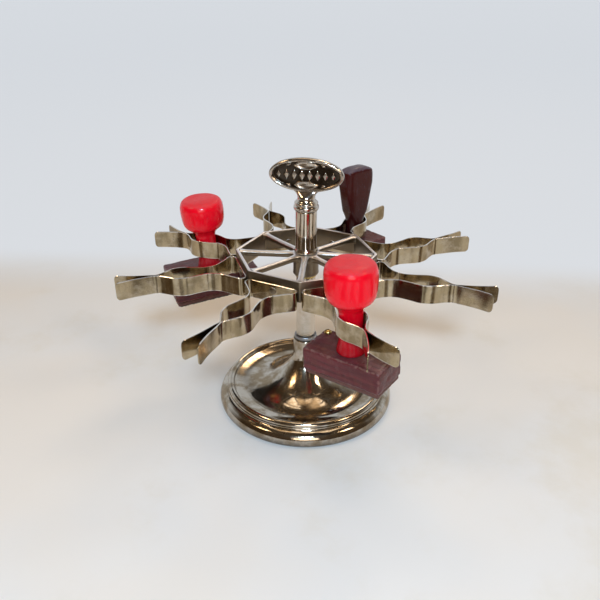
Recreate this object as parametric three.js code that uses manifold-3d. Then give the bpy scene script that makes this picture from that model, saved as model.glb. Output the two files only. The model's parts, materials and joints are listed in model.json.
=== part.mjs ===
// Revolving desk rack for hand stamps. A polished base and post carry an octagonal wheel of spring
// clips. The wheel turns on the tie rod, the two legs of every clip spring apart, and three
// wooden stamps hang by their necks in the clips.
// Millimetres, +Z up. The origin is on the post's axis, on the surface the base stands on.

import * as THREE from 'three';
import { mergeVertices } from 'three/addons/utils/BufferGeometryUtils.js';
import Module from 'manifold-3d';

const wasm = await Module();
wasm.setup();

// ---------------------------------------------------------------- driving dimensions

const GAP = 0.3; // clearance between pieces that touch
const ROUND = 48; // sides of a large turned piece
const SMALL_ROUND = 24; // sides of a small turned piece

const ROD_R = 3;
const BORE_R = ROD_R + GAP;
const ROD_BOTTOM = 9.5;
const ROD_TOP = 129.5;

const BASE_R = 53; // widest, at the lower bead
const BASE_FOOT_R = 51.2; // outer edge of the flat ring it stands on
const BASE_CAVITY_R = 46;
const COLLAR_R = 7.2; // top of the bell
const COLLAR_TOP = 41.6;
const BOSS_BOTTOM = 18; // underside of the bell's centre
const RING_R = 6.6; // dark ring under the post
const RING_TOP = 44.2;
const POST_R = 5.5;

const WHEEL_TOP = 97;
const WHEEL_CORNER_R = 40;
const CLIP_COUNT = 8;
const RIM_HEIGHT = 11.7;
const RIM_WALL = 2.1;
const HUB_R = 7.4;
const HUB_LENGTH = 13;
const SPOKE_WIDTH = 3.6;
const SPOKE_HEIGHT = 3.2;
const SPOKE_DROP = 0.2; // spoke tops lie this far below the rim's top

const STRIP_HEIGHT = 10.4;
const STRIP_THICKNESS = 0.6;
const STRIP_DROP = 4; // top of the spring strips below the rim's top
const CURL_R = 2.5; // bend at each end of a clip's back
const CURL_SIDE = 12.4; // curl centre from the clip's middle line
const CURL_START = 115; // degrees round the curl where the back ends
const CURL_LEG_START = 85; // degrees round the curl where the leg begins
const CURL_LEG_END = 43;
const NIP_RADIUS = 83; // where the legs of a clip close, from the wheel's axis

const RIVET_R = 1.3;
const RIVET_HEAD_R = 2;
const RIVET_HEAD = 0.5; // the heads are nearly flat
const RIVET_TAIL = 0.4;

const SLEEVE_R = 5.9;
const SLEEVE_LIP_R = 6.7;
const SLEEVE_TOP = 121.6;
const PLATE_WIDTH = 40.6;
const PLATE_HEIGHT = 18.4;
const PLATE_THICKNESS = 3.6;
const PLATE_RIM = 1.7;
const PLATE_SUNK = 0.7;
const PLATE_CENTRE = 141; // height of the plate's middle
const PLATE_TURN = -7.5; // degrees about the post

const BELLY_RADIUS = 68; // where a stamp's neck sits, from the wheel's axis
const BLOCK_HEIGHT = 12.6;
const NECK_R = 5.9;
const DOWEL_R = 4;
const DOWEL_LENGTH = 7;
const BACKING_HEIGHT = 1.6;
const DIE_HEIGHT = 2;

// Every clip has been bent a little by use: skew is how far its legs lean to one side in degrees,
// reach is how far they stick out from the wheel's axis, mouth is half the width between the tips,
// belly is half the width of the round space that holds a neck.
const CLIPS = [
  { skew: 6.5, reach: 105.8, mouth: 5.1, belly: 6.9 },
  { skew: -1, reach: 106.2, mouth: 5.4, belly: 6.9 },
  { skew: -1, reach: 102.5, mouth: 6.6, belly: 6.9 },
  { skew: 0, reach: 102, mouth: 7.4, belly: 7.6 },
  { skew: -3.6, reach: 104.6, mouth: 5.2, belly: 6.9 },
  { skew: -3, reach: 105.4, mouth: 4.4, belly: 6.7 },
  { skew: 1.5, reach: 103.6, mouth: 7.4, belly: 7 },
  { skew: 8, reach: 104.4, mouth: 5.8, belly: 6.8 },
];

// clip: which clip holds it. turn: the block's long side against the clip's middle line, in degrees.
// lean, tip: tilt of the stamp along and across its long side, in degrees. blockTop: how high the
// block's top face lies. length, width: the block's size. knobTop: the knob's height above the
// block; the third stamp has a carved paddle instead.
const STAMPS = [
  { clip: 7, turn: 36, lean: -1.4, tip: 1.9, blockTop: 72.6, length: 44, width: 22, knobTop: 47.6 },
  { clip: 4, turn: 50, lean: 4.2, tip: -2, blockTop: 73.6, length: 53, width: 32, knobTop: 44.6 },
  { clip: 2, turn: -23.5, lean: 0, tip: 0, blockTop: 81, length: 37, width: 24, knobTop: null },
];

// ---------------------------------------------------------------- finishes

const finish = (color, roughness, metalness) => new THREE.MeshStandardMaterial({ color, roughness, metalness });
const POLISHED = finish(0xb9b0a6, 0.12, 1);
const SATIN = finish(0xb8a79b, 0.3, 1);
const WHEEL_PLATE = finish(0xcfcac4, 0.28, 1);
const SPRING_STEEL = finish(0x968a70, 0.25, 1);
const DARK_STEEL = finish(0x4a4744, 0.4, 1);
const RED_LACQUER = finish(0xc8102a, 0.28, 0);
const DARK_LACQUER = finish(0x32100f, 0.25, 0);
const MAROON_WOOD = finish(0x4c2024, 0.45, 0);
const SPONGE_RUBBER = finish(0x2c1c1a, 0.9, 0);
const RUBBER = finish(0x1c1a1a, 0.7, 0);
const BRASS = finish(0xb08a4a, 0.3, 1);

// ---------------------------------------------------------------- helpers

const radians = THREE.MathUtils.degToRad;
const point = (x, y) => new THREE.Vector2(x, y);

// One closed mesh with shared corners and its faces pointing outwards.
function closed(geometry) {
  geometry.deleteAttribute('normal');
  geometry.deleteAttribute('uv');
  const merged = mergeVertices(geometry, 1e-4);
  const index = merged.index.array;
  const position = merged.attributes.position;
  const corners = [new THREE.Vector3(), new THREE.Vector3(), new THREE.Vector3()];
  const kept = [];
  let volume = 0;
  for (let i = 0; i < index.length; i += 3) {
    const [a, b, c] = [index[i], index[i + 1], index[i + 2]];
    if (a === b || b === c || c === a) continue;
    kept.push(a, b, c);
    [a, b, c].forEach((v, k) => corners[k].fromBufferAttribute(position, v));
    volume += corners[0].dot(corners[1].clone().cross(corners[2]));
  }
  if (volume < 0) kept.reverse();
  merged.setIndex(kept);
  return merged;
}

function toSolid(geometry) {
  const mesh = closed(geometry);
  const vertProperties = Float32Array.from(mesh.attributes.position.array);
  const triVerts = Uint32Array.from(mesh.index.array);
  return new wasm.Manifold(new wasm.Mesh({ numProp: 3, vertProperties, triVerts }));
}

function toGeometry(solid) {
  const mesh = solid.getMesh();
  const geometry = new THREE.BufferGeometry();
  geometry.setAttribute('position', new THREE.BufferAttribute(Float32Array.from(mesh.vertProperties), 3));
  geometry.setIndex(Array.from(mesh.triVerts));
  return geometry;
}

// A turned piece about +Z from its outline of [radius, height] points.
function turned(outline, sides) {
  const points = outline.map(([r, z]) => point(r, z));
  return new THREE.LatheGeometry(points, sides).rotateX(Math.PI / 2);
}

// A turned tube: its outline closes on itself.
function turnedTube(outline, sides) {
  return turned([...outline, outline[0]], sides);
}

function washer(innerR, outerR, bottom, top, sides) {
  return turnedTube([[innerR, bottom], [outerR, bottom], [outerR, top], [innerR, top]], sides);
}

function cylinder(radius, bottom, top, sides) {
  return turned([[0, bottom], [radius, bottom], [radius, top], [0, top]], sides);
}

function box(width, depth, bottom, top) {
  return new THREE.BoxGeometry(width, depth, top - bottom).translate(0, 0, (bottom + top) / 2);
}

function arc(centre, radius, fromDegrees, toDegrees, steps) {
  const points = [];
  for (let i = 0; i <= steps; i++) {
    const angle = radians(fromDegrees + ((toDegrees - fromDegrees) * i) / steps);
    points.push(point(centre.x + radius * Math.cos(angle), centre.y + radius * Math.sin(angle)));
  }
  return points;
}

// A flat strip on edge that follows a path in plan.
function ribbon(path, thickness, bottom, height) {
  const sides = [[], []];
  path.forEach((p, i) => {
    const before = path[Math.max(i - 1, 0)];
    const after = path[Math.min(i + 1, path.length - 1)];
    const along = after.clone().sub(before).normalize();
    const across = point(-along.y, along.x).multiplyScalar(thickness / 2);
    sides[0].push(p.clone().add(across));
    sides[1].unshift(p.clone().sub(across));
  });
  const shape = new THREE.Shape([...sides[0], ...sides[1]]);
  const strip = new THREE.ExtrudeGeometry(shape, { depth: height, bevelEnabled: false });
  return strip.translate(0, 0, bottom);
}

function add(group, name, geometry, material) {
  const mesh = new THREE.Mesh(closed(geometry), material);
  mesh.name = name;
  group.add(mesh);
  return mesh;
}

// ---------------------------------------------------------------- base and post

function baseCasting() {
  const bell = new THREE.SplineCurve([
    point(COLLAR_R, 32), point(8.6, 27.2), point(12, 22.4), point(17, 17.4),
    point(23, 13), point(30, 10.2), point(37, 9.4), point(43.6, 10.9),
  ]).getPoints(16);
  const upperBead = arc(point(46, 11.2), 2, 170, -30, 7);
  const lowerBead = [
    point(48.3, 9), point(49.6, 8.6), point(51.3, 7.5), point(52.6, 5.5), point(BASE_R, 3.4), point(52.6, 1.3),
  ];
  const outside = [...bell, ...upperBead, ...lowerBead];
  const underside = [
    [BASE_FOOT_R, 0], [BASE_CAVITY_R, 0], [BASE_CAVITY_R - 0.6, 6.4],
    [36, 6.2], [27, 7.6], [19, 11.8], [13, BOSS_BOTTOM], [BORE_R, BOSS_BOTTOM],
  ];
  const outline = outside.map((p) => [p.x, p.y]);
  return turnedTube([[BORE_R, COLLAR_TOP], [COLLAR_R, COLLAR_TOP], ...outline, ...underside], ROUND);
}

function hexNut(bottom, top, acrossFlats) {
  const shape = new THREE.Shape(arc(point(0, 0), acrossFlats / Math.sqrt(3), 0, 300, 5));
  shape.holes.push(new THREE.Path(arc(point(0, 0), BORE_R, 0, 345, SMALL_ROUND - 1)));
  return new THREE.ExtrudeGeometry(shape, { depth: top - bottom, bevelEnabled: false }).translate(0, 0, bottom);
}

function upperSleeve(bottom) {
  return turnedTube([
    [BORE_R, bottom], [SLEEVE_LIP_R - 0.4, bottom], [SLEEVE_LIP_R, bottom + 0.8],
    [SLEEVE_LIP_R - 0.2, bottom + 1.9], [SLEEVE_R, bottom + 2.6], [SLEEVE_R, SLEEVE_TOP], [BORE_R, SLEEVE_TOP],
  ], SMALL_ROUND);
}

// The finial: two small beads, a waist that flares into an oval plate, and a socket for the rod.
function handleCasting() {
  const bottom = SLEEVE_TOP + GAP;
  const stem = turned([
    [0, bottom], [6.1, bottom], [6.9, bottom + 1], [6.9, bottom + 2.2], [6.2, bottom + 3.1],
    [6.5, bottom + 3.9], [6.3, bottom + 4.6], [5, bottom + 5.6], [4.8, bottom + 7.2],
    [5.6, bottom + 9.6], [7.2, bottom + 12], [7.2, bottom + 13.6], [0, bottom + 13.6],
  ], SMALL_ROUND);
  const flareStart = bottom + 7.2;
  const flareEnd = bottom + 13.6;
  const position = stem.attributes.position;
  for (let i = 0; i < position.count; i++) {
    const up = THREE.MathUtils.clamp((position.getZ(i) - flareStart) / (flareEnd - flareStart), 0, 1);
    position.setX(i, position.getX(i) * (1 + 0.25 * up));
    position.setY(i, position.getY(i) * (1 - 0.75 * up));
  }
  const oval = (inset) => {
    const outline = new THREE.EllipseCurve(0, 0, PLATE_WIDTH / 2 - inset, PLATE_HEIGHT / 2 - inset);
    return new THREE.Shape(outline.getPoints(40).slice(0, -1));
  };
  const standing = (shape, depth, front) => new THREE.ExtrudeGeometry(shape, { depth, bevelEnabled: false })
    .rotateX(Math.PI / 2).translate(0, front, PLATE_CENTRE);
  let plate = toSolid(standing(oval(0), PLATE_THICKNESS, PLATE_THICKNESS / 2));
  for (const face of [PLATE_THICKNESS / 2 + 1, -PLATE_THICKNESS / 2 + PLATE_SUNK]) {
    plate = plate.subtract(toSolid(standing(oval(PLATE_RIM), 1 + PLATE_SUNK, face)));
  }
  const socket = toSolid(cylinder(BORE_R, bottom - 1, ROD_TOP + GAP, SMALL_ROUND));
  return toGeometry(toSolid(stem).add(plate).subtract(socket));
}

// ---------------------------------------------------------------- wheel and clips

const FLAT_RADIUS = WHEEL_CORNER_R * Math.cos(Math.PI / CLIP_COUNT); // the rim's flats from the axis
const STRIP_TOP = WHEEL_TOP - STRIP_DROP;
const STRIP_BOTTOM = STRIP_TOP - STRIP_HEIGHT;
const RIVET_Z = (STRIP_TOP + WHEEL_TOP - RIM_HEIGHT) / 2;
const BACK_X = FLAT_RADIUS + GAP + STRIP_THICKNESS / 2; // middle of the strip that lies on a flat

// A pin's hole or shank that lies along the clip's middle line.
function crossPin(radius, from, to, sides) {
  return cylinder(radius, from, to, sides).rotateY(Math.PI / 2).translate(0, 0, RIVET_Z);
}

function wheelCasting() {
  const octagon = (radius) => arc(point(0, 0), radius, 0, 315, 7);
  const rimShape = new THREE.Shape(octagon(WHEEL_CORNER_R));
  const innerR = WHEEL_CORNER_R - RIM_WALL / Math.cos(Math.PI / CLIP_COUNT);
  rimShape.holes.push(new THREE.Path(octagon(innerR)));
  const rim = new THREE.ExtrudeGeometry(rimShape, { depth: RIM_HEIGHT, bevelEnabled: false });
  let wheel = toSolid(rim.translate(0, 0, WHEEL_TOP - RIM_HEIGHT));
  wheel = wheel.add(toSolid(cylinder(HUB_R, WHEEL_TOP - HUB_LENGTH, WHEEL_TOP, SMALL_ROUND)));
  const spokeTop = WHEEL_TOP - SPOKE_DROP;
  for (let k = 0; k < CLIP_COUNT; k++) {
    const spoke = box(innerR - HUB_R + 3, SPOKE_WIDTH, spokeTop - SPOKE_HEIGHT, spokeTop);
    spoke.translate((innerR + HUB_R) / 2, 0, 0).rotateZ(radians(k * 45));
    const hole = crossPin(RIVET_R + GAP, FLAT_RADIUS - RIM_WALL - 1, FLAT_RADIUS + 1, 12);
    wheel = wheel.add(toSolid(spoke)).subtract(toSolid(hole.rotateZ(radians(k * 45 + 22.5))));
  }
  return toGeometry(wheel.subtract(toSolid(cylinder(BORE_R, 0, WHEEL_TOP + 1, SMALL_ROUND))));
}

const curlCentre = (side) => point(BACK_X + CURL_R, side * CURL_SIDE);

// The back of a clip: flat against the rim, with the first part of the curl at each end.
function clipBack() {
  const half = arc(curlCentre(1), CURL_R, CURL_START, 180, 4);
  const otherHalf = half.map((p) => point(p.x, -p.y)).reverse();
  const strip = toSolid(ribbon([...half, ...otherHalf], STRIP_THICKNESS, STRIP_BOTTOM, STRIP_HEIGHT));
  const hole = crossPin(RIVET_R + GAP, BACK_X - 2, BACK_X + 2, 12);
  return toGeometry(strip.subtract(toSolid(hole)));
}

// A leg of a clip: the rest of the curl, the throat, the belly that holds a stamp's neck, the nip
// and the flared tip. side is 1 or -1.
function clipLeg({ skew, reach, mouth, belly }, side) {
  const curve = new THREE.SplineCurve([
    point(42, 14), point(46, 9.9), point(50.5, 5.9), point(56, 4.3), point(62, belly - 1.5), point(68.5, belly),
    point(74, belly - 1), point(79, 2.6), point(NIP_RADIUS, 0.6), point(88, 1.2),
    point((88 + reach) / 2, mouth * 0.52), point(reach, mouth),
  ]).getPoints(26);
  const lean = Math.tan(radians(skew));
  const leg = curve.map((p) => point(p.x, side * p.y + lean * Math.max(p.x - 44, 0)));
  const curl = arc(curlCentre(1), CURL_R, CURL_LEG_START, CURL_LEG_END, 2).map((p) => point(p.x, side * p.y));
  return ribbon([...curl.slice(0, -1), ...leg], STRIP_THICKNESS, STRIP_BOTTOM, STRIP_HEIGHT);
}

function rivet() {
  const outer = BACK_X + STRIP_THICKNESS / 2 + GAP;
  const inner = FLAT_RADIUS - RIM_WALL - GAP;
  const profile = [
    [0, inner - RIVET_TAIL], [RIVET_HEAD_R - 0.3, inner - RIVET_TAIL], [RIVET_HEAD_R - 0.2, inner], [RIVET_R, inner],
    [RIVET_R, outer], [RIVET_HEAD_R, outer], [RIVET_HEAD_R * 0.8, outer + RIVET_HEAD * 0.6],
    [RIVET_HEAD_R * 0.4, outer + RIVET_HEAD * 0.95], [0, outer + RIVET_HEAD],
  ];
  return turned(profile, 12).rotateY(Math.PI / 2).translate(0, 0, RIVET_Z);
}

// ---------------------------------------------------------------- stamps (origin on the block's top face)

function knobHandle(top) {
  const neckEnd = 20.4;
  const knob = [
    [6.6, 24.4], [8.8, 26.8], [11.6, 29.8], [12.5, 33.6], [12.8, 38.6], [12.6, 43], [11.7, 45.8], [9.8, 47.1], [0, 47.6],
  ];
  const squash = (top - neckEnd) / (47.6 - neckEnd);
  return turned([
    [0, -DOWEL_LENGTH], [DOWEL_R, -DOWEL_LENGTH], [DOWEL_R, GAP], [7.2, GAP], [7.3, 1.2], [6.6, 3.6],
    [NECK_R, 8.6], [NECK_R, neckEnd], ...knob.map(([r, z]) => [r, neckEnd + (z - neckEnd) * squash]),
  ], 32);
}

function paddleHandle() {
  const neck = turned([
    [0, -DOWEL_LENGTH], [DOWEL_R, -DOWEL_LENGTH], [DOWEL_R, GAP], [6.1, GAP], [6.1, 0.9],
    [NECK_R - 0.3, 1.5], [NECK_R - 0.3, 14], [5.2, 20], [0, 20],
  ], SMALL_ROUND);
  const round = 1.8; // rounding of the blade's edges
  const thickness = 10.6;
  const outline = new THREE.Shape();
  outline.moveTo(-3, 13);
  outline.lineTo(3, 13);
  outline.lineTo(9.3, 36);
  outline.bezierCurveTo(10, 41, 9, 45.4, 6, 46.2);
  outline.lineTo(-6, 46.2);
  outline.bezierCurveTo(-9, 45.4, -10, 41, -9.3, 36);
  outline.closePath();
  const blade = new THREE.ExtrudeGeometry(outline, {
    depth: thickness - 2 * round, bevelThickness: round, bevelSize: round, bevelSegments: 1, curveSegments: 5,
  }).rotateX(Math.PI / 2).translate(0, thickness / 2 - round, 0);
  return toGeometry(toSolid(neck).add(toSolid(blade)));
}

function stampBlock(length, width) {
  const bevel = 1.6;
  const half = width / 2;
  const height = BLOCK_HEIGHT - bevel;
  const section = new THREE.Shape([
    point(-half, 0), point(half, 0), point(half, height),
    point(half - bevel, BLOCK_HEIGHT), point(bevel - half, BLOCK_HEIGHT), point(-half, height),
  ]);
  const bar = new THREE.ExtrudeGeometry(section, { depth: length, bevelEnabled: false });
  bar.translate(0, 0, -length / 2).rotateX(Math.PI / 2).rotateZ(Math.PI / 2);
  bar.translate(0, 0, -BLOCK_HEIGHT);
  const hole = cylinder(DOWEL_R + GAP, -DOWEL_LENGTH - GAP, 1, SMALL_ROUND);
  return toGeometry(toSolid(bar).subtract(toSolid(hole)));
}

function addStamp(group, name, { length, width, knobTop }) {
  const backingTop = -BLOCK_HEIGHT - GAP;
  const dieTop = backingTop - BACKING_HEIGHT - GAP;
  const backing = box(length - 1.4, width - 1.4, backingTop - BACKING_HEIGHT, backingTop);
  const die = box(length - 4, width - 4, dieTop - DIE_HEIGHT, dieTop);
  if (knobTop) add(group, `${name}_handle`, knobHandle(knobTop), RED_LACQUER);
  else add(group, `${name}_handle`, paddleHandle(), DARK_LACQUER);
  add(group, `${name}_block`, stampBlock(length, width), MAROON_WOOD);
  add(group, `${name}_backing`, backing, SPONGE_RUBBER);
  add(group, `${name}_die`, die, RUBBER);
}

// A domed brass tack that marks which side of a stamp faces its user.
function tack() {
  return turned([[0, GAP], [1.9, GAP], [2, 0.9], [1.4, 1.7], [0, 2.1]], 12).translate(-18.4, 7, 0);
}

// ---------------------------------------------------------------- assembly

const rack = new THREE.Group();
const HUB_BOTTOM = WHEEL_TOP - HUB_LENGTH;
const WASHER_BOTTOM = HUB_BOTTOM - GAP - 0.8;

add(rack, 'base_casting', baseCasting(), POLISHED);
add(rack, 'base_washer', washer(BORE_R, 9, BOSS_BOTTOM - GAP - 1.2, BOSS_BOTTOM - GAP, SMALL_ROUND), DARK_STEEL);
add(rack, 'base_nut', hexNut(11.6, BOSS_BOTTOM - 2 * GAP - 1.2, 10), DARK_STEEL);
add(rack, 'collar_ring', washer(BORE_R, RING_R, COLLAR_TOP + GAP, RING_TOP, SMALL_ROUND), DARK_STEEL);
add(rack, 'post_tube', washer(BORE_R, POST_R, RING_TOP + GAP, WASHER_BOTTOM - GAP, SMALL_ROUND), SATIN);
add(rack, 'tie_rod', cylinder(ROD_R, ROD_BOTTOM, ROD_TOP, SMALL_ROUND), DARK_STEEL);
add(rack, 'hub_washer', washer(BORE_R, 6.2, WASHER_BOTTOM, HUB_BOTTOM - GAP, SMALL_ROUND), BRASS);
add(rack, 'upper_sleeve', upperSleeve(WHEEL_TOP + GAP), SATIN);
add(rack, 'handle_casting', handleCasting(), POLISHED).rotation.z = radians(PLATE_TURN);

const wheel = new THREE.Group();
rack.add(wheel);
add(wheel, 'wheel_casting', wheelCasting(), WHEEL_PLATE);

const clipGroups = CLIPS.map((clip, i) => {
  const name = `clip_${i + 1}`;
  const group = new THREE.Group();
  group.rotation.z = radians(22.5 + 45 * i);
  wheel.add(group);
  add(group, `${name}_back`, clipBack(), SPRING_STEEL);
  add(group, `${name}_rivet`, rivet(), WHEEL_PLATE);
  add(group, `${name}_left_leg`, clipLeg(clip, 1), SPRING_STEEL);
  add(group, `${name}_right_leg`, clipLeg(clip, -1), SPRING_STEEL);
  return group;
});

STAMPS.forEach((stamp, i) => {
  const name = `stamp_${i + 1}`;
  const { skew } = CLIPS[stamp.clip - 1];
  const place = new THREE.Group(); // on the neck's axis, halfway up the spring strips
  const gripHeight = (STRIP_TOP + STRIP_BOTTOM) / 2;
  place.position.set(BELLY_RADIUS, Math.tan(radians(skew)) * (BELLY_RADIUS - 44), gripHeight);
  place.rotation.set(radians(stamp.tip), radians(stamp.lean), radians(stamp.turn), 'ZYX');
  clipGroups[stamp.clip - 1].add(place);
  const body = new THREE.Group();
  body.position.z = stamp.blockTop - gripHeight;
  place.add(body);
  addStamp(body, name, stamp);
  if (i === 0) add(body, `${name}_tack`, tack(), BRASS);
});

export default rack;
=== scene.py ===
# %% [markdown]
# # A revolving rack for hand stamps
#
# The rack is a small office carousel: a bell-shaped base, a post, a wheel of eight spring clips
# and an oval finial. Three wooden stamps hang by their necks in the clips. This notebook dresses
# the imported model: it loads the frame, builds a fine piece for each part that shows, and gives
# each one a finish. Run the cells from top to bottom.

# %% Load the frame
import json
import math

import bmesh
import bpy
from mathutils import Matrix, Vector, noise
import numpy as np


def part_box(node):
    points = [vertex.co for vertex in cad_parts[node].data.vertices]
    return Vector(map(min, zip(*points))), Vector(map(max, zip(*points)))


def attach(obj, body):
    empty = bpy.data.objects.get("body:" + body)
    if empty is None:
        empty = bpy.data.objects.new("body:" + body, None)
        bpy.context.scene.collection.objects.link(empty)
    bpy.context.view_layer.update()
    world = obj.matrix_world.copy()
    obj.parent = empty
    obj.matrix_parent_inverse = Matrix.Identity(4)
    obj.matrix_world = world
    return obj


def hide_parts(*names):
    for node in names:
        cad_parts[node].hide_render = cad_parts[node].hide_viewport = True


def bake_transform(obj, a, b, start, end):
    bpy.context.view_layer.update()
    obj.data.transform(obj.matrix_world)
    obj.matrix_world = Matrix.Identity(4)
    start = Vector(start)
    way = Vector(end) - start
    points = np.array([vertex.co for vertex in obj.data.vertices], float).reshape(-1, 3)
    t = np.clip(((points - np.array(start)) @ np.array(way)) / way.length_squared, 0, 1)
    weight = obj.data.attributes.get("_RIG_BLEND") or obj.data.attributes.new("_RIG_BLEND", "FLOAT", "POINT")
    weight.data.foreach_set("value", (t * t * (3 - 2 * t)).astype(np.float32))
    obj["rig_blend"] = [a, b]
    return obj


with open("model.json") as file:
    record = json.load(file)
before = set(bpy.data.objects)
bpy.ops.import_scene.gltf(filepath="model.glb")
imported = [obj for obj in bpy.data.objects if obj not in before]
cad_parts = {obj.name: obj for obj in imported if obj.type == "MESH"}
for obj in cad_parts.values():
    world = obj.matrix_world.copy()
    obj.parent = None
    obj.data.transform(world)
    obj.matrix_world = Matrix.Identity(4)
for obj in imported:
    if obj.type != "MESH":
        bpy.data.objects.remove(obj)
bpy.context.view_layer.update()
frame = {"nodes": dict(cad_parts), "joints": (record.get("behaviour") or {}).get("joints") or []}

MM = 0.001

# %% [markdown]
# ## Measures that come from the frame
#
# The heights of the main parts are read from the CAD nodes' boxes, so a change in the CAD model
# moves the fine pieces too. From here on, shapes are drawn in millimetres and turned into metres
# when a piece is placed.

# %% Read the main heights


def low(node):
    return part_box(node)[0].z / MM


def high(node):
    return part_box(node)[1].z / MM


def joint(name):
    return next(j for j in frame["joints"] if j["name"] == name)


WHEEL_TOP = high("wheel_casting")
HUB_BOTTOM = low("wheel_casting")
STRIP_TOP = high("clip_1_back")
STRIP_BOTTOM = low("clip_1_back")
STRIP_MIDDLE = (STRIP_TOP + STRIP_BOTTOM) / 2
POST_BOTTOM, POST_TOP = low("post_tube"), high("post_tube")
SLEEVE_BOTTOM, SLEEVE_TOP = low("upper_sleeve"), high("upper_sleeve")
HANDLE_BOTTOM, HANDLE_TOP = low("handle_casting"), high("handle_casting")
COLLAR_TOP = high("base_casting")
WHEEL_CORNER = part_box("wheel_casting")[1].x / MM
CLIP_COUNT = 8
CLIP_STEP = 360 / CLIP_COUNT
print(f"wheel top {WHEEL_TOP:.1f} mm, strips {STRIP_BOTTOM:.1f} to {STRIP_TOP:.1f} mm")

# %% [markdown]
# ## The camera
#
# The rack is seen from a little above and a little to one side. The camera looks at a point on
# the post below the wheel, from an azimuth and an elevation, at a set distance.

# %% Place the camera
VIEW_AZIMUTH = math.radians(5.05)
VIEW_ELEVATION = math.radians(27.66)
VIEW_DISTANCE = 367.8 * MM
VIEW_LENS = 37.8
VIEW_SHIFT_RIGHT = -3.34 * MM
VIEW_HEIGHT = (WHEEL_TOP - 30.7) * MM


def add_object(name, data):
    added = bpy.data.objects.new(name, data)
    bpy.context.scene.collection.objects.link(added)
    return added


def place_camera():
    camera = add_object("camera", bpy.data.cameras.new("camera"))
    right = Vector((math.cos(VIEW_AZIMUTH), math.sin(VIEW_AZIMUTH), 0))
    level = math.cos(VIEW_ELEVATION)
    back = Vector((right.y * level, -right.x * level, math.sin(VIEW_ELEVATION)))
    target = right * VIEW_SHIFT_RIGHT + Vector((0, 0, VIEW_HEIGHT))
    camera.location = target + back * VIEW_DISTANCE
    camera.rotation_euler = (math.pi / 2 - VIEW_ELEVATION, 0, VIEW_AZIMUTH)
    camera.data.lens = VIEW_LENS
    camera.data.sensor_width = 36
    camera.data.clip_start = 0.01
    bpy.context.scene.camera = camera


place_camera()

# %% [markdown]
# ## Node trees without the clicking
#
# Every material, the floor and the geometry tools below are node trees. `put` adds one node, sets
# its properties, and either fills in or links its inputs. `group` starts a reusable tree with
# named inputs and outputs.

# %% Helpers that build node trees


def put(tree, kind, inputs=None, **settings):
    node = tree.nodes.new(kind)
    for key, value in settings.items():
        setattr(node, key, value)
    for key, value in (inputs or {}).items():
        if isinstance(value, bpy.types.NodeSocket):
            tree.links.new(value, node.inputs[key])
        else:
            node.inputs[key].default_value = value
    return node


def group(name, kind, inputs, outputs):
    tree = bpy.data.node_groups.new(name, kind)
    for label, socket_type, value in inputs:
        socket = tree.interface.new_socket(label, in_out="INPUT", socket_type=socket_type)
        if value is not None:
            socket.default_value = value
    for label, socket_type in outputs:
        tree.interface.new_socket(label, in_out="OUTPUT", socket_type=socket_type)
    return tree, tree.nodes.new("NodeGroupInput"), tree.nodes.new("NodeGroupOutput")


def maths(tree, operation, a, b=0.0, clamp=False):
    return put(tree, "ShaderNodeMath", {0: a, 1: b}, operation=operation, use_clamp=clamp).outputs[0]


def plus(tree, a, b):
    return maths(tree, "ADD", a, b)


def minus(tree, a, b):
    return maths(tree, "SUBTRACT", a, b)


def times(tree, a, b, clamp=False):
    return maths(tree, "MULTIPLY", a, b, clamp)


def remap(tree, value, low_in, high_in, low_out=0.0, high_out=1.0, smooth=False):
    inputs = {"Value": value, "From Min": low_in, "From Max": high_in, "To Min": low_out, "To Max": high_out}
    kind = "SMOOTHSTEP" if smooth else "LINEAR"
    return put(tree, "ShaderNodeMapRange", inputs, interpolation_type=kind).outputs["Result"]


def blend_colours(tree, factor, a, b, mode="MIX"):
    node = put(tree, "ShaderNodeMix", data_type="RGBA", blend_type=mode)
    for index, value in ((0, factor), (6, a), (7, b)):
        if isinstance(value, bpy.types.NodeSocket):
            tree.links.new(value, node.inputs[index])
        else:
            node.inputs[index].default_value = value
    return node.outputs[2]


def noise_of(tree, vector, scale, detail=3.0, roughness=0.55):
    inputs = {"Vector": vector, "Scale": scale, "Detail": detail, "Roughness": roughness}
    return put(tree, "ShaderNodeTexNoise", inputs).outputs["Fac"]


def stretched(tree, vector, scale, turn=0.0):
    inputs = {"Vector": vector, "Scale": scale, "Rotation": (0.0, 0.0, turn)}
    return put(tree, "ShaderNodeMapping", inputs).outputs["Vector"]


# %% [markdown]
# ## Effects shared by the materials
#
# Old plated metal and lacquered wood wear in the same few ways, so each way is a node group that
# is made once. `blotches` puts out soft patches, `hairlines` thin scratches that run in three
# directions, `edge_wear` bare edges from a distance to the edge, `wood_grain` streaks along a
# board, and the dust-and-sheen group a pale film on what faces up, which is settled dust and a
# painted sheen. Vectors are in millimetres.

# %% Build the shared effects


def make_blotches():
    tree, given, out = group(
        "blotches", "ShaderNodeTree",
        [("Vector", "NodeSocketVector", None), ("Scale", "NodeSocketFloat", 0.1),
         ("Coverage", "NodeSocketFloat", 0.5)],
        [("Mask", "NodeSocketFloat")],
    )
    wide = noise_of(tree, given.outputs["Vector"], given.outputs["Scale"], 5.0, 0.6)
    threshold = minus(tree, 0.78, times(tree, given.outputs["Coverage"], 0.5))
    over = minus(tree, wide, threshold)
    tree.links.new(remap(tree, over, -0.08, 0.12, smooth=True), out.inputs["Mask"])
    return tree


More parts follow.
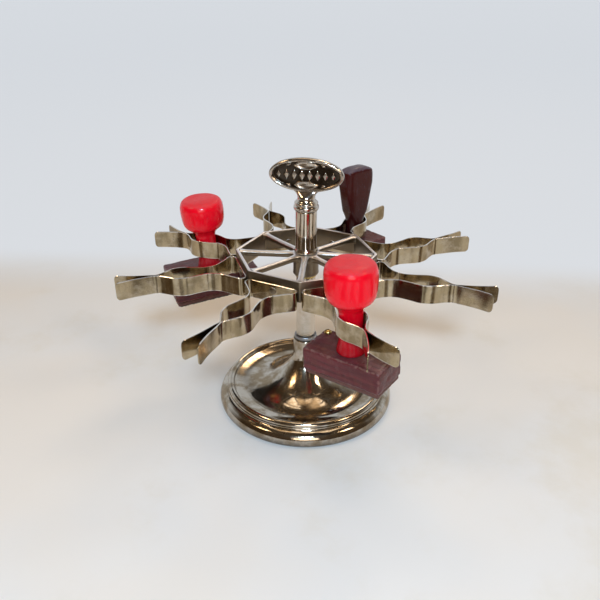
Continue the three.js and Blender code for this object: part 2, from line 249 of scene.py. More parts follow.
def make_hairlines():
    tree, given, out = group(
        "hairlines", "ShaderNodeTree",
        [("Vector", "NodeSocketVector", None), ("Scale", "NodeSocketFloat", 1.0),
         ("Amount", "NodeSocketFloat", 0.5)],
        [("Mask", "NodeSocketFloat")],
    )
    lines = None
    for turn, stretch in ((0.3, 0.05), (1.25, 0.04), (2.2, 0.06)):
        vector = stretched(tree, given.outputs["Vector"], (1.0, stretch, stretch), turn)
        thin = noise_of(tree, vector, given.outputs["Scale"], 1.0, 0.4)
        one = remap(tree, maths(tree, "ABSOLUTE", minus(tree, thin, 0.5)), 0.0, 0.012, 1.0, 0.0)
        lines = one if lines is None else maths(tree, "MAXIMUM", lines, one)
    patches = noise_of(tree, given.outputs["Vector"], times(tree, given.outputs["Scale"], 0.35))
    kept = remap(tree, patches, 0.45, 0.65, smooth=True)
    mask = times(tree, times(tree, lines, kept), given.outputs["Amount"])
    tree.links.new(mask, out.inputs["Mask"])
    return tree


def make_edge_wear():
    tree, given, out = group(
        "edge_wear", "ShaderNodeTree",
        [("Vector", "NodeSocketVector", None), ("Distance", "NodeSocketFloat", 1.0),
         ("Width", "NodeSocketFloat", 1.0), ("Roughness", "NodeSocketFloat", 0.6)],
        [("Mask", "NodeSocketFloat")],
    )
    rough = minus(tree, noise_of(tree, given.outputs["Vector"], 0.55, 5.0, 0.65), 0.5)
    shift = times(tree, rough, times(tree, given.outputs["Roughness"], 7.0))
    share = maths(tree, "DIVIDE", given.outputs["Distance"], given.outputs["Width"])
    edge = minus(tree, plus(tree, 0.75, shift), share)
    tree.links.new(remap(tree, edge, 0.0, 0.35, smooth=True), out.inputs["Mask"])
    return tree


def make_wood_grain():
    tree, given, out = group(
        "wood_grain", "ShaderNodeTree",
        [("Vector", "NodeSocketVector", None), ("Scale", "NodeSocketFloat", 1.0)],
        [("Mask", "NodeSocketFloat"), ("Pores", "NodeSocketFloat")],
    )
    wide = stretched(tree, given.outputs["Vector"], (0.03, 0.5, 0.5))
    streaks = noise_of(tree, wide, given.outputs["Scale"], 6.0, 0.6)
    fine = stretched(tree, given.outputs["Vector"], (0.12, 3.0, 3.0))
    pores = remap(tree, noise_of(tree, fine, given.outputs["Scale"], 2.0, 0.5), 0.6, 0.72)
    tree.links.new(remap(tree, streaks, 0.35, 0.65, smooth=True), out.inputs["Mask"])
    tree.links.new(pores, out.inputs["Pores"])
    return tree


# A pale film on faces that point up: settled dust and a painted sheen.
def make_dust_and_sheen():
    tree, given, out = group(
        "settled_dust", "ShaderNodeTree",
        [("Vector", "NodeSocketVector", None), ("Normal", "NodeSocketVector", None),
         ("Amount", "NodeSocketFloat", 0.2)],
        [("Mask", "NodeSocketFloat")],
    )
    up = put(tree, "ShaderNodeSeparateXYZ", {0: given.outputs["Normal"]}).outputs["Z"]
    facing = remap(tree, up, 0.3, 0.95, smooth=True)
    specks = noise_of(tree, given.outputs["Vector"], 1.7, 4.0, 0.7)
    film = plus(tree, remap(tree, specks, 0.45, 0.75), 0.25)
    mask = times(tree, times(tree, facing, film), given.outputs["Amount"], clamp=True)
    tree.links.new(mask, out.inputs["Mask"])
    return tree


EFFECTS = {
    "blotches": make_blotches(), "hairlines": make_hairlines(), "edge_wear": make_edge_wear(),
    "wood_grain": make_wood_grain(), "settled_dust": make_dust_and_sheen(),
}


def effect(tree, name, inputs, output="Mask"):
    return put(tree, "ShaderNodeGroup", inputs, node_tree=EFFECTS[name]).outputs[output]


print("shared effects:", ", ".join(EFFECTS))

# %% [markdown]
# ## Materials
#
# Each fine piece carries an attribute called `own`: its own coordinates in millimetres, saved
# before the piece is put in place. A pattern that reads `own` follows a leaning stamp or a bent
# strip. A CAD node has no such attribute, so its finish reads Object coordinates instead.

# %% Start a material


def colour(r, g, b):
    return (r, g, b, 1.0)


def start_material(name, from_cad=False, **settings):
    material = bpy.data.materials.new(name)
    material.use_nodes = True
    tree = material.node_tree
    tree.nodes.clear()
    out = put(tree, "ShaderNodeOutputMaterial")
    shader = put(tree, "ShaderNodeBsdfPrincipled", settings)
    tree.links.new(shader.outputs["BSDF"], out.inputs["Surface"])
    if from_cad:
        place = put(tree, "ShaderNodeTexCoord").outputs["Object"]
        to_mm = (1 / MM, 1 / MM, 1 / MM)
        vector = put(tree, "ShaderNodeMapping", {"Vector": place, "Scale": to_mm}).outputs[0]
    else:
        vector = put(tree, "ShaderNodeAttribute", attribute_name="own").outputs["Vector"]
    return material, tree, shader, vector


def bump(tree, shader, height, strength, distance):
    inputs = {"Height": height, "Strength": strength, "Distance": distance}
    node = put(tree, "ShaderNodeBump", inputs)
    tree.links.new(node.outputs["Normal"], shader.inputs["Normal"])
    return node


# %% [markdown]
# ### Plated metal
#
# Nickel plate has a warm tint. Handling leaves smudges that dull it in patches, polishing leaves
# hairlines, and where the plate has gone the colour turns brown. One recipe makes all the metal
# finishes but the strip's: the polished base, the satin post, the bright casting, the dark steel
# hardware and, with colours of its own, the brass. Two of them also carry painted light. The casting
# is painted dark brown on every face that does not point up, which is painted shade on its sides. The
# polished base turns dark towards the floor, which is a painted dark reflection along its foot.

# %% Make the plated metals


def plated(name, bright, dull, smooth, rough, coverage, wobble=0.02, lines=0.5, from_cad=False, dark=None,
           sides=None,
           foot=None):
    material, tree, shader, vector = start_material(name, from_cad, Metallic=1.0)
    patches = effect(tree, "blotches", {"Vector": vector, "Scale": 0.09, "Coverage": coverage})
    smudges = effect(tree, "blotches", {"Vector": vector, "Scale": 0.35, "Coverage": 0.5})
    scratches = effect(tree, "hairlines", {"Vector": vector, "Scale": 1.1, "Amount": lines})
    tint = blend_colours(tree, patches, bright, dull)
    if dark:
        relief = put(tree, "ShaderNodeAttribute", attribute_name="relief").outputs["Fac"]
        grime = plus(tree, relief, times(tree, smudges, 0.12))
        tint = blend_colours(tree, remap(tree, grime, 0.15, 0.6, 1.0, 0.0, smooth=True), tint, dark)
    # Painted dark reflection: the colour turns to the dark foot colour towards the floor, with a ragged edge
    # from the smudges.
    if foot:
        height = put(tree, "ShaderNodeSeparateXYZ", {0: vector}).outputs["Z"]
        ragged = plus(tree, height, times(tree, smudges, 1.5))
        tint = blend_colours(tree, remap(tree, ragged, 1.5, 6.5, smooth=True), foot, tint)
    # Painted shade: faces that do not point up take the dark sides colour, and tops keep the bright one.
    if sides:
        normal = put(tree, "ShaderNodeNewGeometry").outputs["Normal"]
        upward = put(tree, "ShaderNodeSeparateXYZ", {0: normal}).outputs["Z"]
        upward_share = plus(tree, upward, times(tree, smudges, -0.15))
        tint = blend_colours(tree, remap(tree, upward_share, 0.3, 0.75, smooth=True), sides, tint)
    tree.links.new(tint, shader.inputs["Base Color"])
    dulling = maths(tree, "MAXIMUM", times(tree, smudges, 0.55), times(tree, patches, 0.8))
    roughness = remap(tree, dulling, 0.0, 1.0, smooth, rough)
    roughness = plus(tree, roughness, times(tree, scratches, 0.12))
    tree.links.new(roughness, shader.inputs["Roughness"])
    waves = noise_of(tree, vector, 0.16, 2.0, 0.5)
    height = minus(tree, times(tree, waves, wobble), times(tree, scratches, 0.002))
    bump(tree, shader, height, 1.0, 0.001)
    return material


# The base's foot colour is a painted dark reflection on the lowest bead, near the floor.
POLISHED = plated("polished nickel", colour(0.53, 0.48, 0.41), colour(0.3, 0.23, 0.15), 0.06, 0.2, 0.6,
                  wobble=0.05, foot=colour(0.2, 0.165, 0.13))
FINIAL = plated("finial nickel", colour(0.6, 0.54, 0.47), colour(0.36, 0.29, 0.22), 0.12, 0.28, 0.45,
                dark=colour(0.07, 0.055, 0.042))
SLEEVE = plated("sleeve nickel", colour(0.6, 0.52, 0.42), colour(0.38, 0.29, 0.19), 0.1, 0.24, 0.4)
SATIN = plated("satin nickel", colour(0.64, 0.56, 0.46), colour(0.5, 0.41, 0.32), 0.16, 0.26, 0.35,
               lines=0.25)
# The casting's sides colour is painted shade on every face that does not point up.
CASTING = plated("cast nickel", colour(0.84, 0.8, 0.79), colour(0.66, 0.6, 0.58), 0.3, 0.45, 0.4, wobble=0.05,
                 sides=colour(0.2, 0.155, 0.105))
DARK_STEEL = plated("dark steel", colour(0.34, 0.34, 0.35), colour(0.2, 0.18, 0.17), 0.3, 0.5, 0.4)
DARK_STEEL_CAD = plated("dark steel hardware", colour(0.26, 0.25, 0.24), colour(0.12, 0.09, 0.07), 0.35,
                        0.6, 0.6,
                        from_cad=True)
BRASS = plated("brass", colour(0.6, 0.43, 0.16), colour(0.3, 0.2, 0.08), 0.22, 0.45, 0.5)
BRASS_CAD = plated("brass washer", colour(0.6, 0.43, 0.16), colour(0.3, 0.2, 0.08), 0.25, 0.5, 0.5,
                   from_cad=True)

# %% [markdown]
# ### Spring strip
#
# The clips are bent from rolled strip, so the polishing marks all run along it. Here `own` is the
# distance along the strip and the height across it. The plate is painted olive brown in lighter and
# darker bands along the strip, a painted reflection of the warm room. It is worn paler where fingers
# and stamps rub it, with dark spots near the curls, and a painted highlight runs along its top and
# bottom edges.

# %% Make the spring strip's finish


def make_strip():
    material, tree, shader, vector = start_material("spring strip", Metallic=1.0)
    brushing = noise_of(tree, stretched(tree, vector, (0.06, 2.6, 1.0)), 1.0, 3.0, 0.7)
    bands = noise_of(tree, stretched(tree, vector, (0.16, 0.05, 0.3)), 1.0, 3.0, 0.5)
    worn = effect(tree, "blotches", {"Vector": vector, "Scale": 0.12, "Coverage": 0.5})
    spots = effect(tree, "blotches", {"Vector": vector, "Scale": 0.8, "Coverage": 0.2})
    scratches = effect(tree, "hairlines", {"Vector": vector, "Scale": 0.9, "Amount": 0.7})
    # Painted reflection: olive brown in lighter and darker bands along the strip.
    painted_reflection_tint = blend_colours(tree, remap(tree, bands, 0.35, 0.65, smooth=True),
                         colour(0.27, 0.21, 0.125), colour(0.45, 0.36, 0.225))
    tint = blend_colours(tree, times(tree, worn, 0.65), painted_reflection_tint, colour(0.54, 0.46, 0.34))
    tint = blend_colours(tree, times(tree, spots, 0.7), tint, colour(0.14, 0.1, 0.06))
    # Painted highlight: a pale line along the strip's top and bottom edges.
    across = put(tree, "ShaderNodeSeparateXYZ", {0: vector}).outputs["Y"]
    from_edge = minus(tree, (STRIP_TOP - STRIP_BOTTOM) / 2,
                      maths(tree, "ABSOLUTE", minus(tree, across, STRIP_MIDDLE)))
    painted_edge_highlight = remap(tree, from_edge, 0.1, 0.45, 1.0, 0.0)
    tint = blend_colours(tree, painted_edge_highlight, tint, colour(0.86, 0.82, 0.78))
    tree.links.new(tint, shader.inputs["Base Color"])
    roughness = remap(tree, brushing, 0.3, 0.7, 0.1, 0.2)
    roughness = plus(tree, roughness, times(tree, spots, 0.2))
    tree.links.new(roughness, shader.inputs["Roughness"])
    height = times(tree, brushing, 0.0015)
    height = minus(tree, height, times(tree, scratches, 0.002))
    height = plus(tree, height, times(tree, noise_of(tree, vector, 0.12, 1.0), 0.12))
    bump(tree, shader, height, 1.0, 0.001)
    return material


STRIP = make_strip()

# %% [markdown]
# ### Lacquered handles
#
# The red knobs are turned wood under thick lacquer. A palm has rubbed the tops pale and matt, while
# the sides stay glossy. The colour also grows darker towards the bottom, down to the neck. The worn
# top is found from the height along the handle and from how far a point faces up.

# %% Make the lacquers


def lacquer(name, fresh, deep, worn, top_height, wear, gloss, coat):
    material, tree, shader, vector = start_material(name)
    shader.inputs["Coat Roughness"].default_value = 0.06
    shader.inputs["Coat IOR"].default_value = 1.5
    shader.inputs["Specular IOR Level"].default_value = 0.16
    axes = put(tree, "ShaderNodeSeparateXYZ", {0: vector})
    height = axes.outputs["Z"]
    facing = put(tree, "ShaderNodeSeparateXYZ", {0: put(tree, "ShaderNodeNewGeometry").outputs["Normal"]})
    ragged = times(tree, minus(tree, noise_of(tree, vector, 0.22, 5.0, 0.65), 0.5), 0.9)
    up = plus(tree, facing.outputs["Z"], ragged)
    near_top = remap(tree, height, top_height - 14, top_height - 3)
    upward_share = times(tree, remap(tree, up, 0.35, 0.8, smooth=True), near_top)
    mottled = remap(tree, noise_of(tree, vector, 0.5, 6.0, 0.7), 0.4, 0.62, 0.55, 1.0)
    upward_share = times(tree, upward_share, mottled)
    scratches = effect(tree, "hairlines", {"Vector": vector, "Scale": 0.8, "Amount": 1.0})
    chips = effect(tree, "blotches", {"Vector": vector, "Scale": 0.6, "Coverage": 0.12})
    # Darker towards the bottom: the deep colour at the neck, and the plain colour from the drum up.
    base = blend_colours(tree, remap(tree, height, 3.0, 30.0), deep, fresh)
    base = blend_colours(tree, times(tree, upward_share, wear), base, worn)
    marks = times(tree, scratches, plus(tree, times(tree, upward_share, 0.6), 0.15))
    base = blend_colours(tree, marks, base, worn)
    base = blend_colours(tree, times(tree, chips, 0.35), base, deep)
    tree.links.new(base, shader.inputs["Base Color"])
    roughness = plus(tree, gloss, times(tree, upward_share, 0.28))
    roughness = plus(tree, roughness, times(tree, scratches, 0.1))
    tree.links.new(roughness, shader.inputs["Roughness"])
    tree.links.new(remap(tree, upward_share, 0.0, 0.8, coat, 0.05), shader.inputs["Coat Weight"])
    ripple = times(tree, noise_of(tree, vector, 0.3, 3.0), 0.12)
    relief = minus(tree, ripple, times(tree, scratches, 0.02))
    bump(tree, shader, relief, 1.0, 0.001)
    return material


RED = lacquer("red lacquer", colour(0.84, 0.002, 0.014), colour(0.36, 0.002, 0.008), colour(0.66, 0.05, 0.06),
              47.0, 0.85, 0.2, 0.35)
DARK_RED = lacquer("dark lacquer", colour(0.05, 0.007, 0.006), colour(0.02, 0.003, 0.003),
                   colour(0.14, 0.12, 0.15), 48.0, 0.8, 0.16, 0.15)

# %% [markdown]
# ### Stained blocks, sponge rubber and die rubber
#
# A block is a sawn board under a thin maroon stain. Its `own` coordinates run along its length, so
# the grain does too. The block also carries an attribute called `edge`, the distance to its nearest
# edge, which gives the bare corners.

# %% Make the block, backing and die finishes


def make_block_wood():
    material, tree, shader, vector = start_material("maroon block")
    shader.inputs["Coat Roughness"].default_value = 0.25
    shader.inputs["Specular IOR Level"].default_value = 0.25
    distance = put(tree, "ShaderNodeAttribute", attribute_name="edge").outputs["Fac"]
    wear = effect(tree, "edge_wear", {"Vector": vector, "Distance": distance, "Width": 1.1, "Roughness": 0.7})
    grain = effect(tree, "wood_grain", {"Vector": vector, "Scale": 1.0})
    pores = effect(tree, "wood_grain", {"Vector": vector, "Scale": 1.0}, "Pores")
    scuffs = effect(tree, "blotches", {"Vector": vector, "Scale": 0.18, "Coverage": 0.42})
    scratches = effect(tree, "hairlines", {"Vector": vector, "Scale": 0.7, "Amount": 1.0})
    stain = blend_colours(tree, grain, colour(0.06, 0.006, 0.009), colour(0.115, 0.014, 0.018))
    stain = blend_colours(tree, times(tree, scuffs, 0.4), stain, colour(0.13, 0.05, 0.035))
    stain = blend_colours(tree, times(tree, pores, 0.5), stain, colour(0.02, 0.006, 0.006))
    stain = blend_colours(tree, times(tree, scratches, 0.25), stain, colour(0.22, 0.11, 0.1))
    stain = blend_colours(tree, times(tree, wear, 0.6), stain, colour(0.2, 0.1, 0.085))
    facing = put(tree, "ShaderNodeNewGeometry").outputs["Normal"]
    # Settled dust and a painted sheen: a pale greyish film on the faces of the block that point up.
    dust_sheen_mask = effect(tree, "settled_dust", {"Vector": vector, "Normal": facing, "Amount": 0.16})
    stain = blend_colours(tree, dust_sheen_mask, stain, colour(0.3, 0.24, 0.25))
    tree.links.new(stain, shader.inputs["Base Color"])
    rough = plus(tree, 0.36, times(tree, scuffs, 0.2))
    tree.links.new(plus(tree, rough, times(tree, dust_sheen_mask, 0.3)), shader.inputs["Roughness"])
    coat = remap(tree, maths(tree, "MAXIMUM", wear, scuffs), 0.0, 1.0, 0.3, 0.03)
    tree.links.new(coat, shader.inputs["Coat Weight"])
    height = times(tree, grain, 0.03)
    height = minus(tree, height, times(tree, pores, 0.03))
    height = minus(tree, height, times(tree, scratches, 0.03))
    bump(tree, shader, height, 1.0, 0.001)
    return material


def make_rubber(name, pale, dark, grain_scale, relief):
    material, tree, shader, vector = start_material(name)
    grains = noise_of(tree, vector, grain_scale, 4.0, 0.7)
    patches = effect(tree, "blotches", {"Vector": vector, "Scale": 0.25, "Coverage": 0.45})
    tone = blend_colours(tree, remap(tree, grains, 0.35, 0.7), dark, pale)
    tone = blend_colours(tree, times(tree, patches, 0.5), tone, pale)
    tree.links.new(tone, shader.inputs["Base Color"])
    tree.links.new(remap(tree, grains, 0.3, 0.7, 0.55, 0.85), shader.inputs["Roughness"])
    bump(tree, shader, times(tree, grains, relief), 1.0, 0.001)
    return material


BLOCK_WOOD = make_block_wood()
BACKING = make_rubber("sponge backing", colour(0.16, 0.06, 0.045), colour(0.07, 0.025, 0.02), 2.2, 0.15)
DIE_RUBBER = make_rubber("die rubber", colour(0.035, 0.032, 0.032), colour(0.012, 0.011, 0.011), 0.9, 0.06)
print("materials:", len(bpy.data.materials))

# %% [markdown]
# ## Making pieces
#
# `make_piece` turns points and faces in millimetres into an object in metres. It saves the `own`
# coordinates, applies the place, and turns the faces outwards. `ride` gives the piece its body, the
# CAD nodes it stands for and its finish in one call.

# %% Helpers that make meshes


def make_piece(name, points, faces, place=None, own=None, extra=None):
    mesh = bpy.data.meshes.new(name)
    mesh.from_pydata([tuple(p) for p in points], [], faces)
    coordinates = own if own is not None else points
    attribute = mesh.attributes.new("own", "FLOAT_VECTOR", "POINT")
    attribute.data.foreach_set("vector", [c for p in coordinates for c in p])
    for label, values in (extra or {}).items():
        mesh.attributes.new(label, "FLOAT", "POINT").data.foreach_set("value", values)
    bm = bmesh.new()
    bm.from_mesh(mesh)
    bmesh.ops.recalc_face_normals(bm, faces=bm.faces)
    bm.to_mesh(mesh)
    bm.free()
    mesh.transform(Matrix.Scale(MM, 4) @ (place or Matrix.Identity(4)))
    mesh.polygons.foreach_set("use_smooth", [True] * len(mesh.polygons))
    return add_object(name, mesh)


def ride(piece, body, material, slot, *nodes):
    piece.data.materials.clear()
    piece.data.materials.append(material)
    if nodes:
        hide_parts(*nodes)
    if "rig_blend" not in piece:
        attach(piece, body)
    return piece


def sharpen(piece, degrees=38):
    piece.data.set_sharp_from_angle(angle=math.radians(degrees))


def loft(rings, cap_start=True, cap_end=True, joined=False):
    """Points and faces of a skin over rings that have the same number of points."""
    count = len(rings[0])
    points = [p for ring in rings for p in ring]
    faces = []
    for i in range(len(rings) if joined else len(rings) - 1):
        a, b = i * count, ((i + 1) % len(rings)) * count
        for k in range(count):
            n = (k + 1) % count
            faces.append((a + k, a + n, b + n, b + k))
    if not joined and cap_start:
        faces.append(tuple(reversed(range(count))))
    if not joined and cap_end:
        faces.append(tuple(range((len(rings) - 1) * count, len(rings) * count)))
    return points, faces


def rounded(outline, radius, steps=4, joined=False):
    """The outline with a small curve in place of each corner."""
    count = len(outline)
    result = []
    for i, here in enumerate(outline):
        if not joined and i in (0, count - 1):
            result.append(Vector(here))
            continue
        corner = Vector(here)
        before, after = Vector(outline[i - 1]), Vector(outline[(i + 1) % count])
        cut = min(radius, 0.45 * (before - corner).length, 0.45 * (after - corner).length)
        start = corner + (before - corner).normalized() * cut
        end = corner + (after - corner).normalized() * cut
        for k in range(steps + 1):
            t = k / steps
            result.append(start * (1 - t) ** 2 + corner * 2 * t * (1 - t) + end * t * t)
    return result


def spline(points, steps):
    """A smooth curve that passes through every point."""
    knots = [Vector(p) for p in points]
    last = len(knots) - 1
    result = []
    for i in range(steps + 1):
        along = i / steps * last
        k = min(int(along), last - 1)
        t = along - k
        p0, p1 = knots[max(k - 1, 0)], knots[k]
        p2, p3 = knots[k + 1], knots[min(k + 2, last)]
        v0, v1 = (p2 - p0) / 2, (p3 - p1) / 2
        cubic = 2 * p1 - 2 * p2 + v0 + v1
        square = 3 * p2 - 3 * p1 - 2 * v0 - v1
        result.append(cubic * t**3 + square * t * t + v0 * t + p1)
    return result


def arc(centre, radius, start, end, steps):
    angles = [math.radians(start + (end - start) * i / steps) for i in range(steps + 1)]
    return [Vector((centre[0] + radius * math.cos(a), centre[1] + radius * math.sin(a))) for a in angles]


# %% [markdown]
# ## Turned pieces
#
# Most of the stand was made on a lathe or looks as if it was. `turn` spins an outline of radius and
# height round the post. The outline closes on itself for a piece with a bore, or starts and ends on
# the axis for a solid one. Every sharp corner gets a small radius first, because a real edge always
# shows as a thin line of light.

# %% Turn an outline


def turn(outline, sides, bored):
    points, faces, rows = [], [], []
    for p in outline:
        r, z = p[0], p[1]
        if r < 1e-6:
            rows.append([len(points)] * sides)
            points.append((0.0, 0.0, z))
            continue
        rows.append(list(range(len(points), len(points) + sides)))
        for k in range(sides):
            a = 2 * math.pi * k / sides
            points.append((r * math.cos(a), r * math.sin(a), z))
    pairs = list(zip(rows, rows[1:])) + ([(rows[-1], rows[0])] if bored else [])
    for a, b in pairs:
        for k in range(sides):
            n = (k + 1) % sides
            corners = list(dict.fromkeys((a[k], a[n], b[n], b[k])))
            if len(corners) > 2:
                faces.append(corners)
    return points, faces


ROD_CLEARANCE_R = 3.3


def make_base():
    bell = spline([(7.2, 32), (8.6, 27.2), (12, 22.4), (17, 17.4), (23, 13), (30, 10.2), (37, 9.4),
                   (43.6, 10.9)], 70)
    upper_bead = arc((46, 11.2), 2, 170, -30, 18)
    lower_bead = spline([(48.2, 9.0), (49.6, 8.6), (51.3, 7.5), (52.6, 5.5), (53, 3.4), (52.6, 1.3),
                         (51.2, 0)], 26)
    inside = rounded([(51.2, 0), (46, 0), (45.4, 6.4), (36, 6.2), (27, 7.6), (19, 11.8), (13, 18),
                      (3.3, 18)], 0.8)[1:]
    collar = rounded([(ROD_CLEARANCE_R, 30), (ROD_CLEARANCE_R, COLLAR_TOP), (7.2, COLLAR_TOP), (7.2, 32)],
                     0.5)[1:-1]
    outline = collar + bell + upper_bead + lower_bead + inside
    points, faces = turn(outline, 160, True)
    return ride(make_piece("base", points, faces), "stand", POLISHED, "polished_nickel", "base_casting")


def make_tube(name, radius, bottom, top, edge, material, slot, node, sides=96):
    outline = [(ROD_CLEARANCE_R, bottom), (radius, bottom), (radius, top), (ROD_CLEARANCE_R, top)]
    points, faces = turn(rounded(outline, edge, 4, True), sides, True)
    return ride(make_piece(name, points, faces), "stand", material, slot, node)


make_base()
make_tube("post", 5.5, POST_BOTTOM, POST_TOP, 0.35, SATIN, "satin_nickel", "post_tube")
make_tube("collar_band", 6.6, COLLAR_TOP, high("collar_ring"), 0.8, DARK_STEEL, "dark_steel", "collar_ring")


def make_sleeve():
    b = SLEEVE_BOTTOM
    foot = [(ROD_CLEARANCE_R, b), (6.4, b), (6.7, b + 0.9), (6.4, b + 1.9), (6, b + 2.5), (5.9, b + 3.4)]
    points, faces = turn(rounded(foot + [(5.9, SLEEVE_TOP), (ROD_CLEARANCE_R, SLEEVE_TOP)], 0.5, 4, True),
                         96, True)
    return ride(make_piece("sleeve", points, faces), "stand", SLEEVE, "satin_nickel", "upper_sleeve")


make_sleeve()
print("turned pieces of the stand are in place")

# %% [markdown]
# ## The finial
#
# One casting holds the top of the stand together: two small beads, a slim waist that flares into a
# flat oval, and the oval itself with a raised rim on both faces. The stem is a loft of ellipses.
# Each ellipse is given by its half width, half depth and height, and the last ones bend with the
# oval's lower edge so that the flare runs into it. Every point also carries a value called
# `relief`, nought in the sunk ground and one on what stands proud. The finish reads it to keep
# grime in the hollows.

# %% Cast the finial
FINIAL_TURN = Matrix.Rotation(math.radians(-7.5), 4, "Z")
OVAL_HALF_WIDTH, OVAL_HALF_HEIGHT = 20.3, 9.2
OVAL_CENTRE = HANDLE_TOP - OVAL_HALF_HEIGHT
OVAL_GROUND = 0.85


def oval_edge(x, inset):
    share = min(1.0, abs(x) / (OVAL_HALF_WIDTH - inset))
    return OVAL_CENTRE - (OVAL_HALF_HEIGHT - inset) * math.sqrt(1 - share * share)


def stem_rings(sides=96):
    b = HANDLE_BOTTOM
    beads = [(5.2, b), (6.1, b), (6.7, b + 0.4), (6.95, b + 1.1), (6.95, b + 1.9), (6.7, b + 2.6),
             (6.2, b + 3.1),
             (6.15, b + 3.3), (6.45, b + 3.7), (6.5, b + 4.1), (6.2, b + 4.6), (5.4, b + 5.1), (5.0, b + 5.7),
             (4.85, b + 6.6)]
    circle = [(math.cos(2 * math.pi * k / sides), math.sin(2 * math.pi * k / sides)) for k in range(sides)]
    rings = [[(r * c, r * s, z) for c, s in circle] for r, z in beads]
    start = beads[-1][1]
    steps = 22
    for i in range(1, steps + 1):
        t = i / steps
        half_width = 4.85 + 5.6 * t**2.6
        half_depth = 4.85 - 3.3 * t * t * (3 - 2 * t)
        ring = []
        for c, s in circle:
            x = half_width * c
            rise = 1 - (1 - t) ** 1.35
            ring.append((x, half_depth * s, start + (oval_edge(x, 0.9) - start) * rise))
        rings.append(ring)
    return rings


def oval_rings(sides=144):
    face = [(8.7, 0.85), (5, 0.85), (2.6, 0.87), (2.2, 0.95), (1.95, 1.25), (1.7, 1.62), (1.3, 1.8),
            (0.75, 1.8),
            (0.3, 1.55), (0.06, 1.1), (0, 0.5)]
    section = face + [(inset, -out) for inset, out in reversed(face)]
    rings, relief = [], []
    for inset, out in section:
        angles = [2 * math.pi * k / sides for k in range(sides)]
        wide, tall = OVAL_HALF_WIDTH - inset, OVAL_HALF_HEIGHT - inset
        rings.append([(wide * math.cos(a), -out, OVAL_CENTRE + tall * math.sin(a)) for a in angles])
        ground = inset > 1.8
        relief += [0.0 if ground else 1.0] * sides
    return rings, relief


def make_finial():
    stem_points, stem_faces = loft(stem_rings())
    rings, relief = oval_rings()
    oval_points, oval_faces = loft(rings)
    shift = len(stem_points)
    points = stem_points + oval_points
    faces = stem_faces + [tuple(i + shift for i in face) for face in oval_faces]
    piece = make_piece("finial", points, faces, FINIAL_TURN, extra={"relief": [1.0] * shift + relief})
    return ride(piece, "stand", FINIAL, "polished_nickel", "handle_casting")


make_finial()

# %% [markdown]
# ### The finial's ornament
#
# The sunk ground of the oval carries a raised ornament: a row of lozenges across the middle and a
# leaf-shaped boss above and below it. The row repeats one shape, so a Geometry Nodes tree makes it:
# points on a line, one stud on each, smaller towards the ends. Realize Instances turns the copies
# into real mesh, which the export needs.

# %% Build the tree that makes a row


def nodes_group(name, inputs):
    given = [("Geometry", "NodeSocketGeometry", None)] + inputs + [("Material", "NodeSocketMaterial", None)]
    return group(name, "GeometryNodeTree", given, [("Geometry", "NodeSocketGeometry")])


def finish_nodes(tree, given, out, geometry, own=False):
    shape = put(tree, "GeometryNodeRealizeInstances", {"Geometry": geometry}).outputs[0]
    if own:
        place = put(tree, "GeometryNodeInputPosition").outputs[0]
        in_mm = put(tree, "ShaderNodeVectorMath", {0: place, "Scale": 1000.0}, operation="SCALE").outputs[0]
        inputs = {"Geometry": shape, "Name": "own", "Value": in_mm}
        shape = put(tree, "GeometryNodeStoreNamedAttribute", inputs, data_type="FLOAT_VECTOR").outputs[0]
    inputs = {"Geometry": shape, "Material": given.outputs["Material"]}
    tree.links.new(put(tree, "GeometryNodeSetMaterial", inputs).outputs[0], out.inputs[0])
    return tree


def make_tapering_row():
    tree, given, out = nodes_group("tapering row", [
        ("Count", "NodeSocketInt", 7), ("Length", "NodeSocketFloat", 0.02),
        ("End Size", "NodeSocketFloat", 0.6)])
    line = put(tree, "GeometryNodeMeshLine", {"Count": given.outputs["Count"]}, mode="OFFSET")
    index = put(tree, "GeometryNodeInputIndex").outputs[0]
    last = minus(tree, given.outputs["Count"], 1.0)
    share = minus(tree, maths(tree, "DIVIDE", index, last), 0.5)
    along = times(tree, share, given.outputs["Length"])
    spot = put(tree, "ShaderNodeCombineXYZ", {"X": along}).outputs[0]
    row = put(tree, "GeometryNodeSetPosition", {"Geometry": line.outputs[0], "Position": spot}).outputs[0]
    ends = times(tree, times(tree, share, share), 4.0)
    size = put(tree, "ShaderNodeMix", {0: ends, 2: 1.0, 3: given.outputs["End Size"]}).outputs[0]
    inputs = {"Points": row, "Instance": given.outputs["Geometry"], "Scale": size}
    studs = put(tree, "GeometryNodeInstanceOnPoints", inputs).outputs[0]
    return finish_nodes(tree, given, out, studs)


def grow(piece, tree, **values):
    """The piece that a tree makes of this one, as a plain mesh."""
    modifier = piece.modifiers.new(tree.name, "NODES")
    modifier.node_group = tree
    for item in tree.interface.items_tree:
        label = item.name.replace(" ", "_").lower()
        if item.in_out == "INPUT" and label in values:
            modifier[item.identifier] = values[label]
    bpy.context.view_layer.update()
    shape = piece.evaluated_get(bpy.context.evaluated_depsgraph_get())
    mesh = bpy.data.meshes.new_from_object(shape)
    name = piece.name
    bpy.data.objects.remove(piece)
    return add_object(name, mesh)


TAPERING_ROW = make_tapering_row()

# %% Put the ornament on both faces


def lozenge_rings(half_width, half_height):
    corners = [(half_width, 0), (0, half_height), (-half_width, 0), (0, -half_height)]
    outline = rounded([Vector(c) for c in corners], 0.35, 3, True)
    levels = [(1.12, 0.0), (1.0, 0.35), (0.86, 0.72), (0.6, 0.86), (0.12, 1.0)]
    return [[(p.x * scale, -rise, p.y * scale) for p in outline] for scale, rise in levels]


